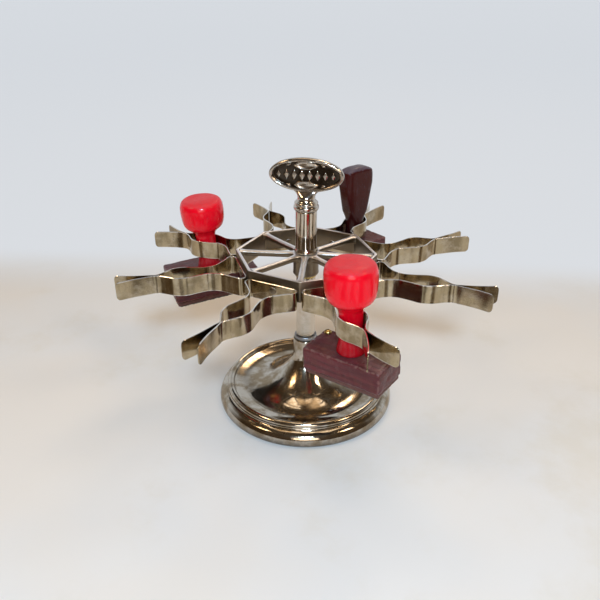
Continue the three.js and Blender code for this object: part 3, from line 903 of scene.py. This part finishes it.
def leaf_rings(half_width, half_height):
    upper = [Vector((half_width * math.cos(a), half_height * math.sin(a) ** 1.5))
             for a in [math.pi * k / 24 for k in range(25)]]
    outline = upper + [Vector((-p.x, -p.y)) for p in upper[1:-1]]
    levels = [(1.06, 0.0), (1.0, 0.6), (0.94, 0.85), (0.86, 0.9), (0.74, 0.72), (0.4, 0.5), (0.08, 0.45)]
    return [[(p.x * scale, -rise, p.y * scale) for p in outline] for scale, rise in levels]


def ornament_relief(rings):
    top = max(-p[1] for ring in rings for p in ring)
    return [0.25 + 0.75 * min(1.0, -p[1] / top * 1.4) for ring in rings for p in ring]


def on_the_oval(face, x, z):
    turn_round = Matrix.Rotation(0 if face == "front" else math.pi, 4, "Z")
    return FINIAL_TURN @ turn_round @ Matrix.Translation((x, -OVAL_GROUND + 0.1, OVAL_CENTRE + z))


def make_ornament(face):
    rings = lozenge_rings(1.75, 3.1)
    points, faces = loft(rings)
    stud = make_piece(f"finial_lozenges_{face}", points, faces, extra={"relief": ornament_relief(rings)})
    row = grow(stud, TAPERING_ROW, count=8, length=29.5 * MM, end_size=0.68, material=FINIAL)
    row.data.transform(Matrix.Scale(MM, 4) @ on_the_oval(face, 0, 0) @ Matrix.Scale(1 / MM, 4))
    ride(row, "stand", FINIAL, "polished_nickel")
    sharpen(row)
    rings = leaf_rings(6.4, 2.3)
    points, faces = loft(rings)
    for label, height in (("upper", 5.3), ("lower", -5.3)):
        place = on_the_oval(face, 0, height)
        leaf = make_piece(f"finial_leaf_{face}_{label}", points, faces, place,
                          extra={"relief": ornament_relief(rings)})
        sharpen(ride(leaf, "stand", FINIAL, "polished_nickel"))
    rings = lozenge_rings(1.5, 0.8)
    points, faces = loft(rings)
    for number, (x, z) in enumerate(((-9.4, 5.4), (9.4, 5.4), (-9.4, -5.4), (9.4, -5.4)), 1):
        place = on_the_oval(face, x, z) @ Matrix.Rotation(math.copysign(0.35, x * z), 4, "Y")
        point = make_piece(f"finial_point_{face}_{number}", points, faces, place,
                           extra={"relief": ornament_relief(rings)})
        sharpen(ride(point, "stand", FINIAL, "polished_nickel"))


make_ornament("front")
make_ornament("back")

# %% [markdown]
# ## The wheel
#
# The wheel is one casting: an eight-sided rim, a hub with a bore, and a spoke to each corner. The
# rim is a section carried round an octagon with slightly rounded corners. The spokes are one shape
# turned about the axis eight times, and so are the rivets, so one Geometry Nodes tree makes both.
# It stores `own` anew after the turning, so that no two spokes wear the same pattern.

# %% Build the tree that copies round the axis


def make_polar_copies():
    tree, given, out = nodes_group("polar copies",
                                   [("Count", "NodeSocketInt", 8), ("Turn", "NodeSocketFloat", 0.0)])
    line = put(tree, "GeometryNodeMeshLine", {"Count": given.outputs["Count"], "Offset": (0.0, 0.0, 0.0)},
               mode="OFFSET")
    step = maths(tree, "DIVIDE", 2 * math.pi, given.outputs["Count"])
    index = put(tree, "GeometryNodeInputIndex").outputs[0]
    angle = plus(tree, times(tree, index, step), given.outputs["Turn"])
    euler = put(tree, "ShaderNodeCombineXYZ", {"Z": angle}).outputs[0]
    rotation = put(tree, "FunctionNodeEulerToRotation", {0: euler}).outputs[0]
    inputs = {"Points": line.outputs[0], "Instance": given.outputs["Geometry"], "Rotation": rotation}
    copies = put(tree, "GeometryNodeInstanceOnPoints", inputs).outputs[0]
    return finish_nodes(tree, given, out, copies, own=True)


POLAR_COPIES = make_polar_copies()

# %% Cast the rim, the hub and the spokes
RIM_WALL = 2.1
RIM_HEIGHT = 11.7
HUB_R = 7.4
SPOKE_WIDTH, SPOKE_HEIGHT, SPOKE_DROP = 3.5, 3.2, 0.2
EIGHTH = math.pi / CLIP_COUNT


def rim_outline(inset):
    radius = WHEEL_CORNER - inset / math.cos(EIGHTH)
    corners = [Vector((radius * math.cos(2 * EIGHTH * k), radius * math.sin(2 * EIGHTH * k)))
               for k in range(CLIP_COUNT)]
    return rounded(corners, 0.9 if inset < 1 else 0.6, 5, True)


def make_rim():
    top, bottom = WHEEL_TOP, WHEEL_TOP - RIM_HEIGHT
    section = [(0.55, top), (0.2, top - 0.1), (0, top - 0.45), (0, bottom + 0.45), (0.2, bottom + 0.1),
               (0.55, bottom),
               (RIM_WALL - 0.55, bottom), (RIM_WALL - 0.15, bottom + 0.2), (RIM_WALL, bottom + 0.6),
               (RIM_WALL - 0.2, top - 0.6), (RIM_WALL - 0.4, top - 0.15), (RIM_WALL - 0.75, top)]
    rings = [[(p.x, p.y, z) for p in rim_outline(inset)] for inset, z in section]
    piece = make_piece("wheel_rim", *loft(rings, joined=True))
    sharpen(ride(piece, "carousel", CASTING, "cast_nickel", "wheel_casting"), 42)


def make_hub():
    t, b = WHEEL_TOP, HUB_BOTTOM
    outline = [(ROD_CLEARANCE_R, b), (6.9, b), (7.4, b + 0.7), (7.2, b + 2), (7.2, t - 4.2), (7.6, t - 3.2),
               (7.6, t - 0.5), (7.1, t), (6.4, t), (6.2, t - 0.3), (ROD_CLEARANCE_R, t - 0.3)]
    piece = make_piece("wheel_hub", *turn(rounded(outline, 0.35, 3, True), 96, True))
    ride(piece, "carousel", CASTING, "cast_nickel")


def make_spokes():
    start, end = HUB_R - 1.2, WHEEL_CORNER - RIM_WALL - 0.5
    top = WHEEL_TOP - SPOKE_DROP
    rings = []
    steps = 40
    for i in range(steps + 1):
        t = i / steps
        x = start + (end - start) * t
        near_hub = max(0.0, 1 - (x - start) / 4.5)
        near_rim = max(0.0, 1 - (end - x) / 3.6)
        w = SPOKE_WIDTH / 2 + 1.1 * near_hub**2 + 1.3 * near_rim**2
        low_z = top - SPOKE_HEIGHT - 1.5 * near_hub**2 - 1.5 * near_rim**2
        crown = top - 0.25 * math.sin(math.pi * t)
        rings.append([(x, y, z) for y, z in (
            (-w, crown - 0.9), (-w + 0.25, crown - 0.35), (-w + 0.85, crown), (w - 0.85, crown),
            (w - 0.25, crown - 0.35), (w, crown - 0.9), (w - 0.3, low_z + 0.5), (w - 0.8, low_z),
            (0.8 - w, low_z), (0.3 - w, low_z + 0.5))])
    spoke = make_piece("wheel_spokes", *loft(rings))
    spokes = grow(spoke, POLAR_COPIES, count=CLIP_COUNT, turn=0.0, material=CASTING)
    sharpen(ride(spokes, "carousel", CASTING, "cast_nickel"), 42)
    print("spokes:", len(spokes.data.polygons), "faces")


make_rim()
make_hub()
make_spokes()

# %% [markdown]
# ## The spring clips
#
# A clip is one strip of sprung steel, riveted by its middle to a flat of the rim. At each end of
# the flat it curls back on itself, closes to a throat, opens into a round belly that holds a
# stamp's neck, nips together, and flares to a mouth that guides the next neck in. Use has bent
# each clip differently. Half a clip, from the rivet to a tip, is one ribbon here, so that it bends
# at its curl as one piece when the joint there opens.

# %% Lay out the ribbons
STRIP_THICKNESS = 0.6
CURL_R, CURL_SIDE = 2.5, 12.4
FLAT_RADIUS = WHEEL_CORNER * math.cos(EIGHTH)
FACE_GAP = 0.3
BACK_X = FLAT_RADIUS + FACE_GAP + STRIP_THICKNESS / 2
SKEW_START = 44

# Skew is how far the legs lean to one side in degrees. Reach is where the tips end, mouth is half the
# width between them, and belly is half the width of the round space.
CLIPS = [
    {"skew": 6.5, "reach": 105.8, "mouth": 5.1, "belly": 6.9},
    {"skew": -1, "reach": 106.2, "mouth": 5.4, "belly": 6.9},
    {"skew": -1, "reach": 102.5, "mouth": 6.6, "belly": 6.9},
    {"skew": 0, "reach": 102, "mouth": 7.4, "belly": 7.6},
    {"skew": -3.6, "reach": 104.6, "mouth": 5.2, "belly": 6.9},
    {"skew": -3, "reach": 105.4, "mouth": 4.4, "belly": 6.7},
    {"skew": 1.5, "reach": 103.6, "mouth": 7.4, "belly": 7},
    {"skew": 8, "reach": 104.4, "mouth": 5.8, "belly": 6.8},
]


def half_clip_path(clip, side):
    belly, reach, mouth = clip["belly"], clip["reach"], clip["mouth"]
    curl = arc((BACK_X + CURL_R, CURL_SIDE), CURL_R, 180, 43, 40)
    leg = spline([(42, 14), (46, 9.9), (50.5, 5.9), (56, 4.3), (62, belly - 1.5), (68.5, belly),
                  (74, belly - 1),
                  (79, 2.6), (83, 0.6), (88, 1.2), ((88 + reach) / 2, mouth * 0.52), (reach, mouth)], 300)
    lean = math.tan(math.radians(clip["skew"]))
    path = [Vector((BACK_X, 0)), *curl[:-1], *leg]
    return [Vector((p.x, side * p.y + lean * max(p.x - SKEW_START, 0))) for p in path]


def resampled(path, distances):
    lengths = [0.0]
    for a, b in zip(path, path[1:]):
        lengths.append(lengths[-1] + (b - a).length)
    result, k = [], 0
    for d in distances(lengths[-1]):
        while k < len(path) - 2 and lengths[k + 1] < d:
            k += 1
        share = (d - lengths[k]) / max(lengths[k + 1] - lengths[k], 1e-9)
        result.append((d, path[k].lerp(path[k + 1], min(share, 1.0))))
    return result, lengths[-1]


def strip_distances(total):
    tip = 3.0
    count = round((total - tip) / 0.55)
    return [(total - tip) * i / count for i in range(count)] + [total - tip + tip * i / 20 for i in range(21)]


def ribbon(path, seed):
    """A flat strip on edge that follows a path in plan, with its tip's corners rounded."""
    stations, total = resampled(path, strip_distances)
    half, edge, tip_r = STRIP_THICKNESS / 2, 0.13, 2.4
    rings, own = [], []
    for i, (d, p) in enumerate(stations):
        before, after = stations[max(i - 1, 0)][1], stations[min(i + 1, len(stations) - 1)][1]
        along = (after - before).normalized()
        across = Vector((-along.y, along.x))
        past = max(0.0, d - (total - tip_r)) / tip_r
        cut = tip_r * (1 - math.sqrt(max(0.0, 1 - past * past)))
        sag = 0.25 * noise.noise(Vector((d * 0.05, seed, 0.0)))
        bottom, top = STRIP_BOTTOM + cut + sag, STRIP_TOP - cut + sag
        section = [(-half, bottom + edge), (edge - half, bottom), (half - edge, bottom),
                   (half, bottom + edge),
                   (half, top - edge), (half - edge, top), (edge - half, top), (-half, top - edge)]
        rings.append([(p.x + across.x * n, p.y + across.y * n, z) for n, z in section])
        own += [(d + 37.0 * seed, z, n) for n, z in section]
    return rings, own


def clip_turn(number):
    return Matrix.Rotation(math.radians(CLIP_STEP / 2 + CLIP_STEP * (number - 1)), 4, "Z")


# %% Bend the clips
BEND_FROM, BEND_TO = 38.2, 42.2


def make_half_clip(number, label, side):
    clip = CLIPS[number - 1]
    rings, own = ribbon(half_clip_path(clip, side), number + (0.5 if side < 0 else 0.0))
    points, faces = loft(rings)
    piece = make_piece(f"clip_{number}_{label}", points, faces, clip_turn(number), own)
    sharpen(piece, 30)
    hinge = Vector(joint(f"clip_{number}_{label}_flex")["pos_m"])
    outward = clip_turn(number) @ Vector((1, 0, 0))
    level = Vector((0, 0, hinge.z))
    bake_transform(piece, "carousel", f"clip_{number}_{label}", start=level + outward * BEND_FROM * MM,
             end=level + outward * BEND_TO * MM)
    nodes = [f"clip_{number}_{label}_leg"] + ([f"clip_{number}_back"] if side > 0 else [])
    return ride(piece, None, STRIP, "spring_steel", *nodes)


for number in range(1, CLIP_COUNT + 1):
    make_half_clip(number, "left", 1)
    make_half_clip(number, "right", -1)
print("clips bent:", CLIP_COUNT)

# %% Rivet them on
RIVET_HEAD_R, RIVET_HEAD, RIVET_SHANK_R, RIVET_TAIL_R = 2, 0.45, 1.3, 1.8


def make_rivets():
    out = BACK_X + STRIP_THICKNESS / 2
    inner = FLAT_RADIUS - RIM_WALL
    angles = [math.pi / 2 * k / 10 for k in range(10)]
    dome = [(RIVET_HEAD_R * math.cos(a), out + RIVET_HEAD * math.sin(a)) for a in angles]
    shank = [(RIVET_SHANK_R, out - 0.05), (RIVET_SHANK_R, inner + 0.1)]
    tail = [(RIVET_TAIL_R, inner + 0.05), (RIVET_TAIL_R, inner - 0.1), (1.6, inner - 0.25), (0, inner - 0.3)]
    outline = [(0, out + RIVET_HEAD), *reversed(dome), *shank, *tail]
    points, faces = turn(outline, 28, False)
    middle = (STRIP_TOP + WHEEL_TOP - RIM_HEIGHT) / 2
    place = Matrix.Translation((0, 0, middle)) @ Matrix.Rotation(math.pi / 2, 4, "Y")
    rivet = make_piece("rivets", points, faces, place)
    rivets = grow(rivet, POLAR_COPIES, count=CLIP_COUNT, turn=EIGHTH, material=CASTING)
    nodes = [f"clip_{n}_rivet" for n in range(1, CLIP_COUNT + 1)]
    ride(rivets, "carousel", CASTING, "cast_nickel", *nodes)


make_rivets()

# %% [markdown]
# ## The stamps
#
# Each stamp hangs by its neck in a clip. It is drawn upright, with its origin on the top of its
# block, and then put in place by one matrix: out along the clip's arm, turned, leaned, and moved
# down to where its block hangs.

# %% Say where the stamps hang
BELLY_RADIUS = 68
BLOCK_HEIGHT = 12.6
STAMPS = {
    "stamp_1": {"clip": 7, "turn": 36, "lean": -1.4, "tip": 1.9, "block_top": 72.6, "length": 44,
                "width": 22},
    "stamp_2": {"clip": 4, "turn": 50, "lean": 4.2, "tip": -2, "block_top": 73.6, "length": 53, "width": 32},
    "stamp_3": {"clip": 2, "turn": -23.5, "lean": 0, "tip": 0, "block_top": 81, "length": 37, "width": 24},
}


def stamp_place(name):
    stamp = STAMPS[name]
    skew = math.tan(math.radians(CLIPS[stamp["clip"] - 1]["skew"]))
    grip = Matrix.Translation((BELLY_RADIUS, skew * (BELLY_RADIUS - SKEW_START), STRIP_MIDDLE))
    turned = Matrix.Identity(4)
    for way, axis in (("turn", "Z"), ("lean", "Y"), ("tip", "X")):
        turned = turned @ Matrix.Rotation(math.radians(stamp[way]), 4, axis)
    hung = Matrix.Translation((0, 0, stamp["block_top"] - STRIP_MIDDLE))
    return clip_turn(stamp["clip"]) @ grip @ turned @ hung


# %% [markdown]
# ### Knob handles
#
# The knob is turned from one piece of wood: a foot that spreads on the block, a straight neck for
# the clip, and a drum with soft shoulders for the palm. Fine rings from the turning chisel are left
# in it, and the top is slightly uneven from wear.

# %% Turn the knobs
NECK_END, TALL_KNOB, SHORT_KNOB = 20.4, 47.6, 44.6
PEG_R, PEG_DEPTH = 3.9, 6


def knob_outline(top):
    curve = spline([(7.1, 0), (7.3, 0.9), (6.9, 2.8), (6.3, 5.2), (5.95, 8.6), (5.85, 14), (5.95, 20.2),
                    (6.5, 23.4),
                    (8.4, 26.2), (11.1, 28.9), (12.3, 32.4), (12.7, 36.8), (12.8, 40.2), (12.55, 43.4),
                    (11.5, 45.9), (9.6, 47.1), (6.5, 47.5), (0, 47.6)], 150)
    squash = (top - NECK_END) / (TALL_KNOB - NECK_END)
    curve = [Vector((p.x, p.y if p.y < NECK_END else NECK_END + (p.y - NECK_END) * squash)) for p in curve]
    marks = [Vector((max(p.x + 0.035 * math.sin(p.y * 9) * (p.y > 2), 0.0), p.y)) for p in curve[:-1]]
    peg = [(0, -PEG_DEPTH), (PEG_R, -PEG_DEPTH), (4, 0.02), (6.9, 0.02)]
    return [*map(Vector, peg), *marks, Vector((0, top - 0.05))]


def make_knob(name, top, seed):
    points, faces = turn(knob_outline(top), 96, False)
    worn = []
    for x, y, z in points:
        dip = 0.4 * noise.noise(Vector((x * 0.12, y * 0.12, seed))) * max(0.0, min(1.0, (z - 40) / 6))
        out = 1 + 0.004 * noise.noise(Vector((x * 0.1, y * 0.1, z * 0.1 + seed)))
        worn.append((x * out, y * out, z + dip))
    piece = make_piece(f"{name}_knob", worn, faces, stamp_place(name), worn)
    return ride(piece, name, RED, "red_lacquer", f"{name}_handle")


make_knob("stamp_1", TALL_KNOB, 3.0)
make_knob("stamp_2", SHORT_KNOB, 11.0)

# %% [markdown]
# ### The paddle handle
#
# The third handle is carved, not turned, above its neck: round at the bottom, then a broad flat
# paddle with soft edges. A loft of rings suits it, because every ring can have its own width, depth
# and squareness.

# %% Carve the paddle
PADDLE_NECK_R, PADDLE_HALF_DEPTH = 5.6, 5.3


def eased(t):
    t = max(0.0, min(1.0, t))
    return t * t * (3 - 2 * t)


def paddle_ring(z, sides=72):
    neck = PADDLE_NECK_R + 0.5 * max(0.0, 1 - z / 2)
    spread = eased((z - 11) / 9)
    widest = PADDLE_NECK_R + 5.6 * max(0.0, min(1.0, (z - 13) / 24)) ** 0.9
    shoulder = math.sqrt(max(0.0, 1 - max(0.0, (z - 37) / 11) ** 4))
    crown = math.sqrt(max(0.0, 1 - max(0.0, (z - 45) / 3) ** 2))
    width = (neck + (widest - neck) * spread) * (0.55 + 0.45 * shoulder) * (0.25 + 0.75 * crown)
    depth = (neck + (PADDLE_HALF_DEPTH - neck) * spread) * (0.25 + 0.75 * crown)
    squareness = 1 - 0.62 * spread
    ring = []
    for k in range(sides):
        a = 2 * math.pi * k / sides
        x, y = (math.copysign(abs(way) ** squareness, way) for way in (math.cos(a), math.sin(a)))
        ring.append((width * x, depth * y, z))
    return ring


def make_paddle(name):
    heights = [0.02, 0.5, 1, 1.8, 2.8, 4, 6, 9] + [11 + 0.9 * i for i in range(38)]
    heights += [44.6 + 0.25 * i for i in range(12)] + [47.5 + 0.1 * i for i in range(6)]
    peg = [(PEG_R * x / PADDLE_NECK_R, PEG_R * y / PADDLE_NECK_R, -PEG_DEPTH) for x, y, _ in paddle_ring(9)]
    rings = [peg] + [paddle_ring(z) for z in heights]
    points, faces = loft(rings)
    piece = make_piece(f"{name}_paddle", points, faces, stamp_place(name), points)
    return ride(piece, name, DARK_RED, "dark_lacquer", f"{name}_handle")


make_paddle("stamp_3")

# %% [markdown]
# ### Blocks, backings and dies
#
# Under each handle is a sawn block with eased edges, a thin layer of sponge rubber, and the rubber
# die. A box with rounded edges comes from a lattice on the box's six faces: each point is pulled
# back to the inner box and pushed out again by the edge radius. Noise then dents the edges. The
# die's printing face is rows of small raised bars, placed by Geometry Nodes from a fixed seed. They
# are plain bars, and no lettering.

# %% Helpers for the block


def stations(half, radius, step):
    count = max(1, round(2 * (half - radius) / step))
    inner = [-(half - radius) + 2 * (half - radius) * i / count for i in range(count + 1)]
    ends = [half - radius * share for share in (0.0, 0.3, 0.65)]
    return [-e for e in ends] + inner + list(reversed(ends))


def rounded_box(half, radius, step, centre_z):
    lines = [stations(h, radius, step) for h in half]
    index, points, faces = {}, [], []

    def corner(key):
        if key not in index:
            p = Vector([line[k] for line, k in zip(lines, key)])
            inner = Vector([max(radius - h, min(h - radius, c)) for c, h in zip(p, half)])
            index[key] = len(points)
            points.append(inner + (p - inner).normalized() * radius + Vector((0, 0, centre_z)))
        return index[key]

    for axis in range(3):
        u, v = (axis + 1) % 3, (axis + 2) % 3
        for end in (0, len(lines[axis]) - 1):
            for a in range(len(lines[u]) - 1):
                for b in range(len(lines[v]) - 1):
                    keys = []
                    for da, db in ((0, 0), (1, 0), (1, 1), (0, 1)):
                        key = [0, 0, 0]
                        key[axis], key[u], key[v] = end, a + da, b + db
                        keys.append(corner(tuple(key)))
                    faces.append(keys)
    return points, faces


def dented(points, centre, depth, scale, seed):
    result = []
    for p in points:
        dent = noise.noise(Vector((p[0] * scale, p[1] * scale, p[2] * scale + seed)))
        fine = noise.noise(Vector((p[0] * scale * 3, p[1] * scale * 3, p[2] * scale * 3 + seed)))
        inward = Vector((p[0] * 0.25, p[1] * 0.5, p[2] - centre)).normalized()
        result.append(Vector(p) - inward * depth * (max(0.0, dent) + 0.4 * max(0.0, fine)))
    return result


# %% Make the blocks and backings
BACKING_HEIGHT, DIE_HEIGHT, LAYER_GAP = 1.6, 2.0, 0.3
BACKING_TOP = -BLOCK_HEIGHT - LAYER_GAP
DIE_TOP = BACKING_TOP - BACKING_HEIGHT - LAYER_GAP


def block_half(name, inset, height=BLOCK_HEIGHT):
    return STAMPS[name]["length"] / 2 - inset, STAMPS[name]["width"] / 2 - inset, height / 2


def make_block(name, seed):
    half = block_half(name, 0)
    points, faces = rounded_box(half, 1.3, 0.9, -BLOCK_HEIGHT / 2)
    from_faces = [[half[0] - abs(p[0]), half[1] - abs(p[1]), half[2] - abs(p[2] + half[2])] for p in points]
    points = dented(points, -BLOCK_HEIGHT / 2, 0.45, 0.35, seed)
    piece = make_piece(f"{name}_wood", points, faces, stamp_place(name))
    edge = piece.data.attributes.new("edge", "FLOAT", "POINT")
    edge.data.foreach_set("value", [sorted(distances)[1] for distances in from_faces])
    return ride(piece, name, BLOCK_WOOD, "maroon_wood", f"{name}_block")


def make_backing(name, seed):
    half = block_half(name, 0.7, BACKING_HEIGHT + 2 * LAYER_GAP)
    points, faces = rounded_box(half, 0.5, 0.8, BACKING_TOP - BACKING_HEIGHT / 2)
    points = dented(points, BACKING_TOP - BACKING_HEIGHT / 2, 0.5, 0.6, seed)
    piece = make_piece(f"{name}_sponge", points, faces, stamp_place(name))
    return ride(piece, name, BACKING, "sponge_rubber", f"{name}_backing")


# %% Make the dies


def make_type_rows():
    tree, given, out = nodes_group("type rows", [
        ("Length", "NodeSocketFloat", 0.036), ("Width", "NodeSocketFloat", 0.016),
        ("Rows", "NodeSocketInt", 5),
        ("Columns", "NodeSocketInt", 22), ("Seed", "NodeSocketInt", 1)])
    inputs = {"Size X": given.outputs["Length"], "Size Y": given.outputs["Width"],
              "Vertices X": given.outputs["Columns"], "Vertices Y": given.outputs["Rows"]}
    grid = put(tree, "GeometryNodeMeshGrid", inputs).outputs[0]
    seed = given.outputs["Seed"]
    kept = put(tree, "FunctionNodeRandomValue", {"Probability": 0.8, "Seed": seed},
               data_type="BOOLEAN").outputs[3]
    size = put(tree, "FunctionNodeRandomValue", {0: (0.6, 0.75, 0.8), 1: (1.25, 1.15, 1.0), "Seed": seed},
               data_type="FLOAT_VECTOR").outputs[0]
    inputs = {"Points": grid, "Selection": kept, "Instance": given.outputs["Geometry"], "Scale": size}
    bars = put(tree, "GeometryNodeInstanceOnPoints", inputs).outputs[0]
    return finish_nodes(tree, given, out, bars, own=True)


TYPE_ROWS = make_type_rows()
DIE_SLAB = 1.2


def make_die(name, seed):
    half = block_half(name, 2, DIE_SLAB + 0.3)
    points, faces = rounded_box(half, 0.35, 0.9, DIE_TOP - DIE_SLAB / 2 + 0.15)
    points = dented(points, DIE_TOP, 0.3, 0.5, seed)
    slab = make_piece(f"{name}_die_slab", points, faces, stamp_place(name))
    ride(slab, name, DIE_RUBBER, "rubber", f"{name}_die")
    bar_rings = [[(-w, -d, z), (w, -d, z), (w, d, z), (-w, d, z)]
                 for w, d, z in ((0.75, 1.2, 0.3), (0.7, 1.15, -0.2), (0.55, 1.0, -0.7), (0.42, 0.85, -0.75))]
    bar = make_piece(f"{name}_die_face", *loft(bar_rings))
    length, width = 2 * half[0] - 3, 2 * half[1] - 4
    rows = grow(bar, TYPE_ROWS, length=length * MM, width=width * MM, rows=round(width / 3.7) + 1,
                columns=round(length / 1.8) + 1, seed=seed, material=DIE_RUBBER)
    down = Matrix.Translation((0, 0, DIE_TOP - DIE_SLAB))
    rows.data.transform(Matrix.Scale(MM, 4) @ stamp_place(name) @ down @ Matrix.Scale(1 / MM, 4))
    sharpen(ride(rows, name, DIE_RUBBER, "rubber"))


for seed, name in enumerate(STAMPS, 1):
    make_block(name, seed * 7.0)
    make_backing(name, seed * 5.0)
    make_die(name, seed)
print("stamps:", len(STAMPS))

# %% Press in the brass tack
TACK_X, TACK_Y = -18.4, 7


def make_tack():
    dome = [(2 * math.cos(a), 0.5 + 1.5 * math.sin(a)) for a in [math.pi / 2 * k / 8 for k in range(8)]]
    outline = [(0, -3), (0.5, -2.4), (0.5, 0.05), (1.9, 0.05), *dome, (0, 2.0)]
    points, faces = turn(outline, 32, False)
    place = stamp_place("stamp_1") @ Matrix.Translation((TACK_X, TACK_Y, 0))
    ride(make_piece("stamp_1_tack_head", points, faces, place), "stamp_1", BRASS, "brass", "stamp_1_tack")


make_tack()

# %% [markdown]
# ## The hardware that stays as it is
#
# The rod, its nut and the washers are plain turned parts that hardly show. Their CAD meshes are
# right, so they keep them and only get a finish.

# %% Finish the remaining CAD nodes
for node, material in (("tie_rod", DARK_STEEL_CAD), ("base_nut", DARK_STEEL_CAD),
                       ("base_washer", DARK_STEEL_CAD),
                       ("hub_washer", BRASS_CAD)):
    for mesh_slot in frame["nodes"][node].material_slots:
        mesh_slot.material = material

# %% [markdown]
# ## Floor and light
#
# The rack stands on a pale cream table that fades into a cooler backdrop. Polished metal shows
# whatever is around it, so the light does most of the work. A small cool lamp above the camera
# throws the shadows back, and a wide fill lamp behind it softens them. A softbox overhead and three
# warm lamps round the rack give the golden glints. The sky is dark brown overhead. Lower down it is
# pale behind the rack and dark in front of it. Dark cards near the floor, which only reflections
# see, give the plate its dark bands.

# %% Lay the floor


def make_floor():
    half = 9.0
    steps = 24
    mesh = bpy.data.meshes.new("floor")
    row = steps + 1
    lines = [half * (2 * i / steps - 1) for i in range(row)]
    points = [(x, y, 0) for y in lines for x in lines]
    starts = [j * row + i for j in range(steps) for i in range(steps)]
    faces = [(k, k + 1, k + row + 1, k + row) for k in starts]
    mesh.from_pydata(points, [], faces)
    add_object("floor", mesh)
    material = bpy.data.materials.new("pale table")
    material.use_nodes = True
    tree = material.node_tree
    shader = tree.nodes["Principled BSDF"]
    place = put(tree, "ShaderNodeTexCoord").outputs["Object"]
    stains = remap(tree, noise_of(tree, place, 9.0, 6.0, 0.65), 0.5, 0.72, smooth=True)
    cool = remap(tree, noise_of(tree, place, 5.0, 3.0, 0.5), 0.45, 0.62, smooth=True)
    near = blend_colours(tree, cool, colour(0.83, 0.79, 0.74), colour(0.81, 0.8, 0.785))
    near = blend_colours(tree, times(tree, stains, 0.45), near, colour(0.72, 0.66, 0.55))
    away = put(tree, "ShaderNodeSeparateXYZ", {0: place}).outputs["Y"]
    edge = plus(tree, away, times(tree, noise_of(tree, place, 3.0, 2.0), 0.04))
    far = remap(tree, edge, 0.15, 0.24, smooth=True)
    tree.links.new(blend_colours(tree, far, near, colour(0.12, 0.12, 0.12)), shader.inputs["Base Color"])
    tree.links.new(blend_colours(tree, far, colour(0, 0, 0), colour(0.59, 0.62, 0.66)),
                   shader.inputs["Emission Color"])
    shader.inputs["Emission Strength"].default_value = 1.0
    shader.inputs["Roughness"].default_value = 0.6
    shader.inputs["Specular IOR Level"].default_value = 0.2
    mesh.materials.append(material)


make_floor()

# %% Light the scene


def area_lamp(name, place, size, power, tint, aim=(0, 0, 0.06)):
    lamp = bpy.data.lights.new(name, "AREA")
    lamp.shape = "RECTANGLE"
    lamp.size, lamp.size_y = size
    lamp.energy = power
    lamp.color = tint
    holder = add_object(name, lamp)
    holder.location = place
    holder.rotation_euler = (Vector(aim) - Vector(place)).to_track_quat("-Z", "Y").to_euler()


area_lamp("front_lamp", (0.08, -0.75, 0.6), (0.14, 0.1), 6.6, (0.5, 0.74, 1.0))
area_lamp("front_fill", (0.1, -1.0, 0.38), (0.5, 0.3), 2.2, (1.0, 0.88, 0.76))
area_lamp("overhead_softbox", (0.0, 0.2, 1.15), (0.7, 0.5), 2.5, (1.0, 0.8, 0.58))
area_lamp("left_warm_lamp", (-0.7, -0.4, 0.9), (0.22, 0.22), 1.9, (1.0, 0.74, 0.46))
area_lamp("right_warm_lamp", (0.75, -0.3, 0.9), (0.22, 0.22), 2.1, (1.0, 0.76, 0.5))
area_lamp("back_warm_lamp", (0.2, 0.9, 1.0), (0.22, 0.22), 1.6, (1.0, 0.78, 0.56))


def make_dark_card(name, start, end):
    """A dark card near the floor that only reflections see. It covers a sector in front of the rack."""
    near, far, height = 0.175, 1.6, 0.004
    angles = [start + (end - start) * k / 8 for k in range(9)]
    ways = [(math.cos(math.radians(a)), math.sin(math.radians(a))) for a in angles]
    points = [(r * c, r * s, height) for r in (near, far) for c, s in ways]
    mesh = bpy.data.meshes.new(name)
    mesh.from_pydata(points, [], [(k, k + 9, k + 10, k + 1) for k in range(8)])
    card = add_object(name, mesh)
    for kind in ("camera", "diffuse", "transmission", "volume_scatter", "shadow"):
        setattr(card, f"visible_{kind}", False)
    material = bpy.data.materials.new("dark card")
    material.use_nodes = True
    shader = material.node_tree.nodes["Principled BSDF"]
    shader.inputs["Base Color"].default_value = colour(0.12, 0.075, 0.035)
    mesh.materials.append(material)


DARK_SECTORS = ((-152, -138), (-112, -97), (-84, -74), (-58, -44), (-16, -2))
for number, (start, end) in enumerate(DARK_SECTORS, 1):
    make_dark_card(f"dark_card_{number}", start, end)


def make_sky():
    world = bpy.data.worlds.new("studio")
    world.use_nodes = True
    tree = world.node_tree
    background = tree.nodes["Background"]
    way = put(tree, "ShaderNodeSeparateXYZ",
              {0: put(tree, "ShaderNodeTexCoord").outputs["Generated"]}).outputs
    up = remap(tree, way["Z"], 0.48, 0.72, smooth=True)
    low_tint = blend_colours(tree, remap(tree, way["Y"], -0.2, 0.5, smooth=True), colour(0.09, 0.06, 0.035),
                             colour(0.66, 0.7, 0.74))
    tint = blend_colours(tree, up, low_tint, colour(0.1, 0.075, 0.05))
    tree.links.new(tint, background.inputs["Color"])
    background.inputs["Strength"].default_value = 1.0
    bpy.context.scene.world = world


make_sky()
bpy.context.scene.view_settings.view_transform = "Standard"

# %% [markdown]
# ## A last helper
#
# The last cell holds a helper that lists the corners of a box.

# %% List a box's corners


def corners(box):
    return [list(corner) for corner in box]
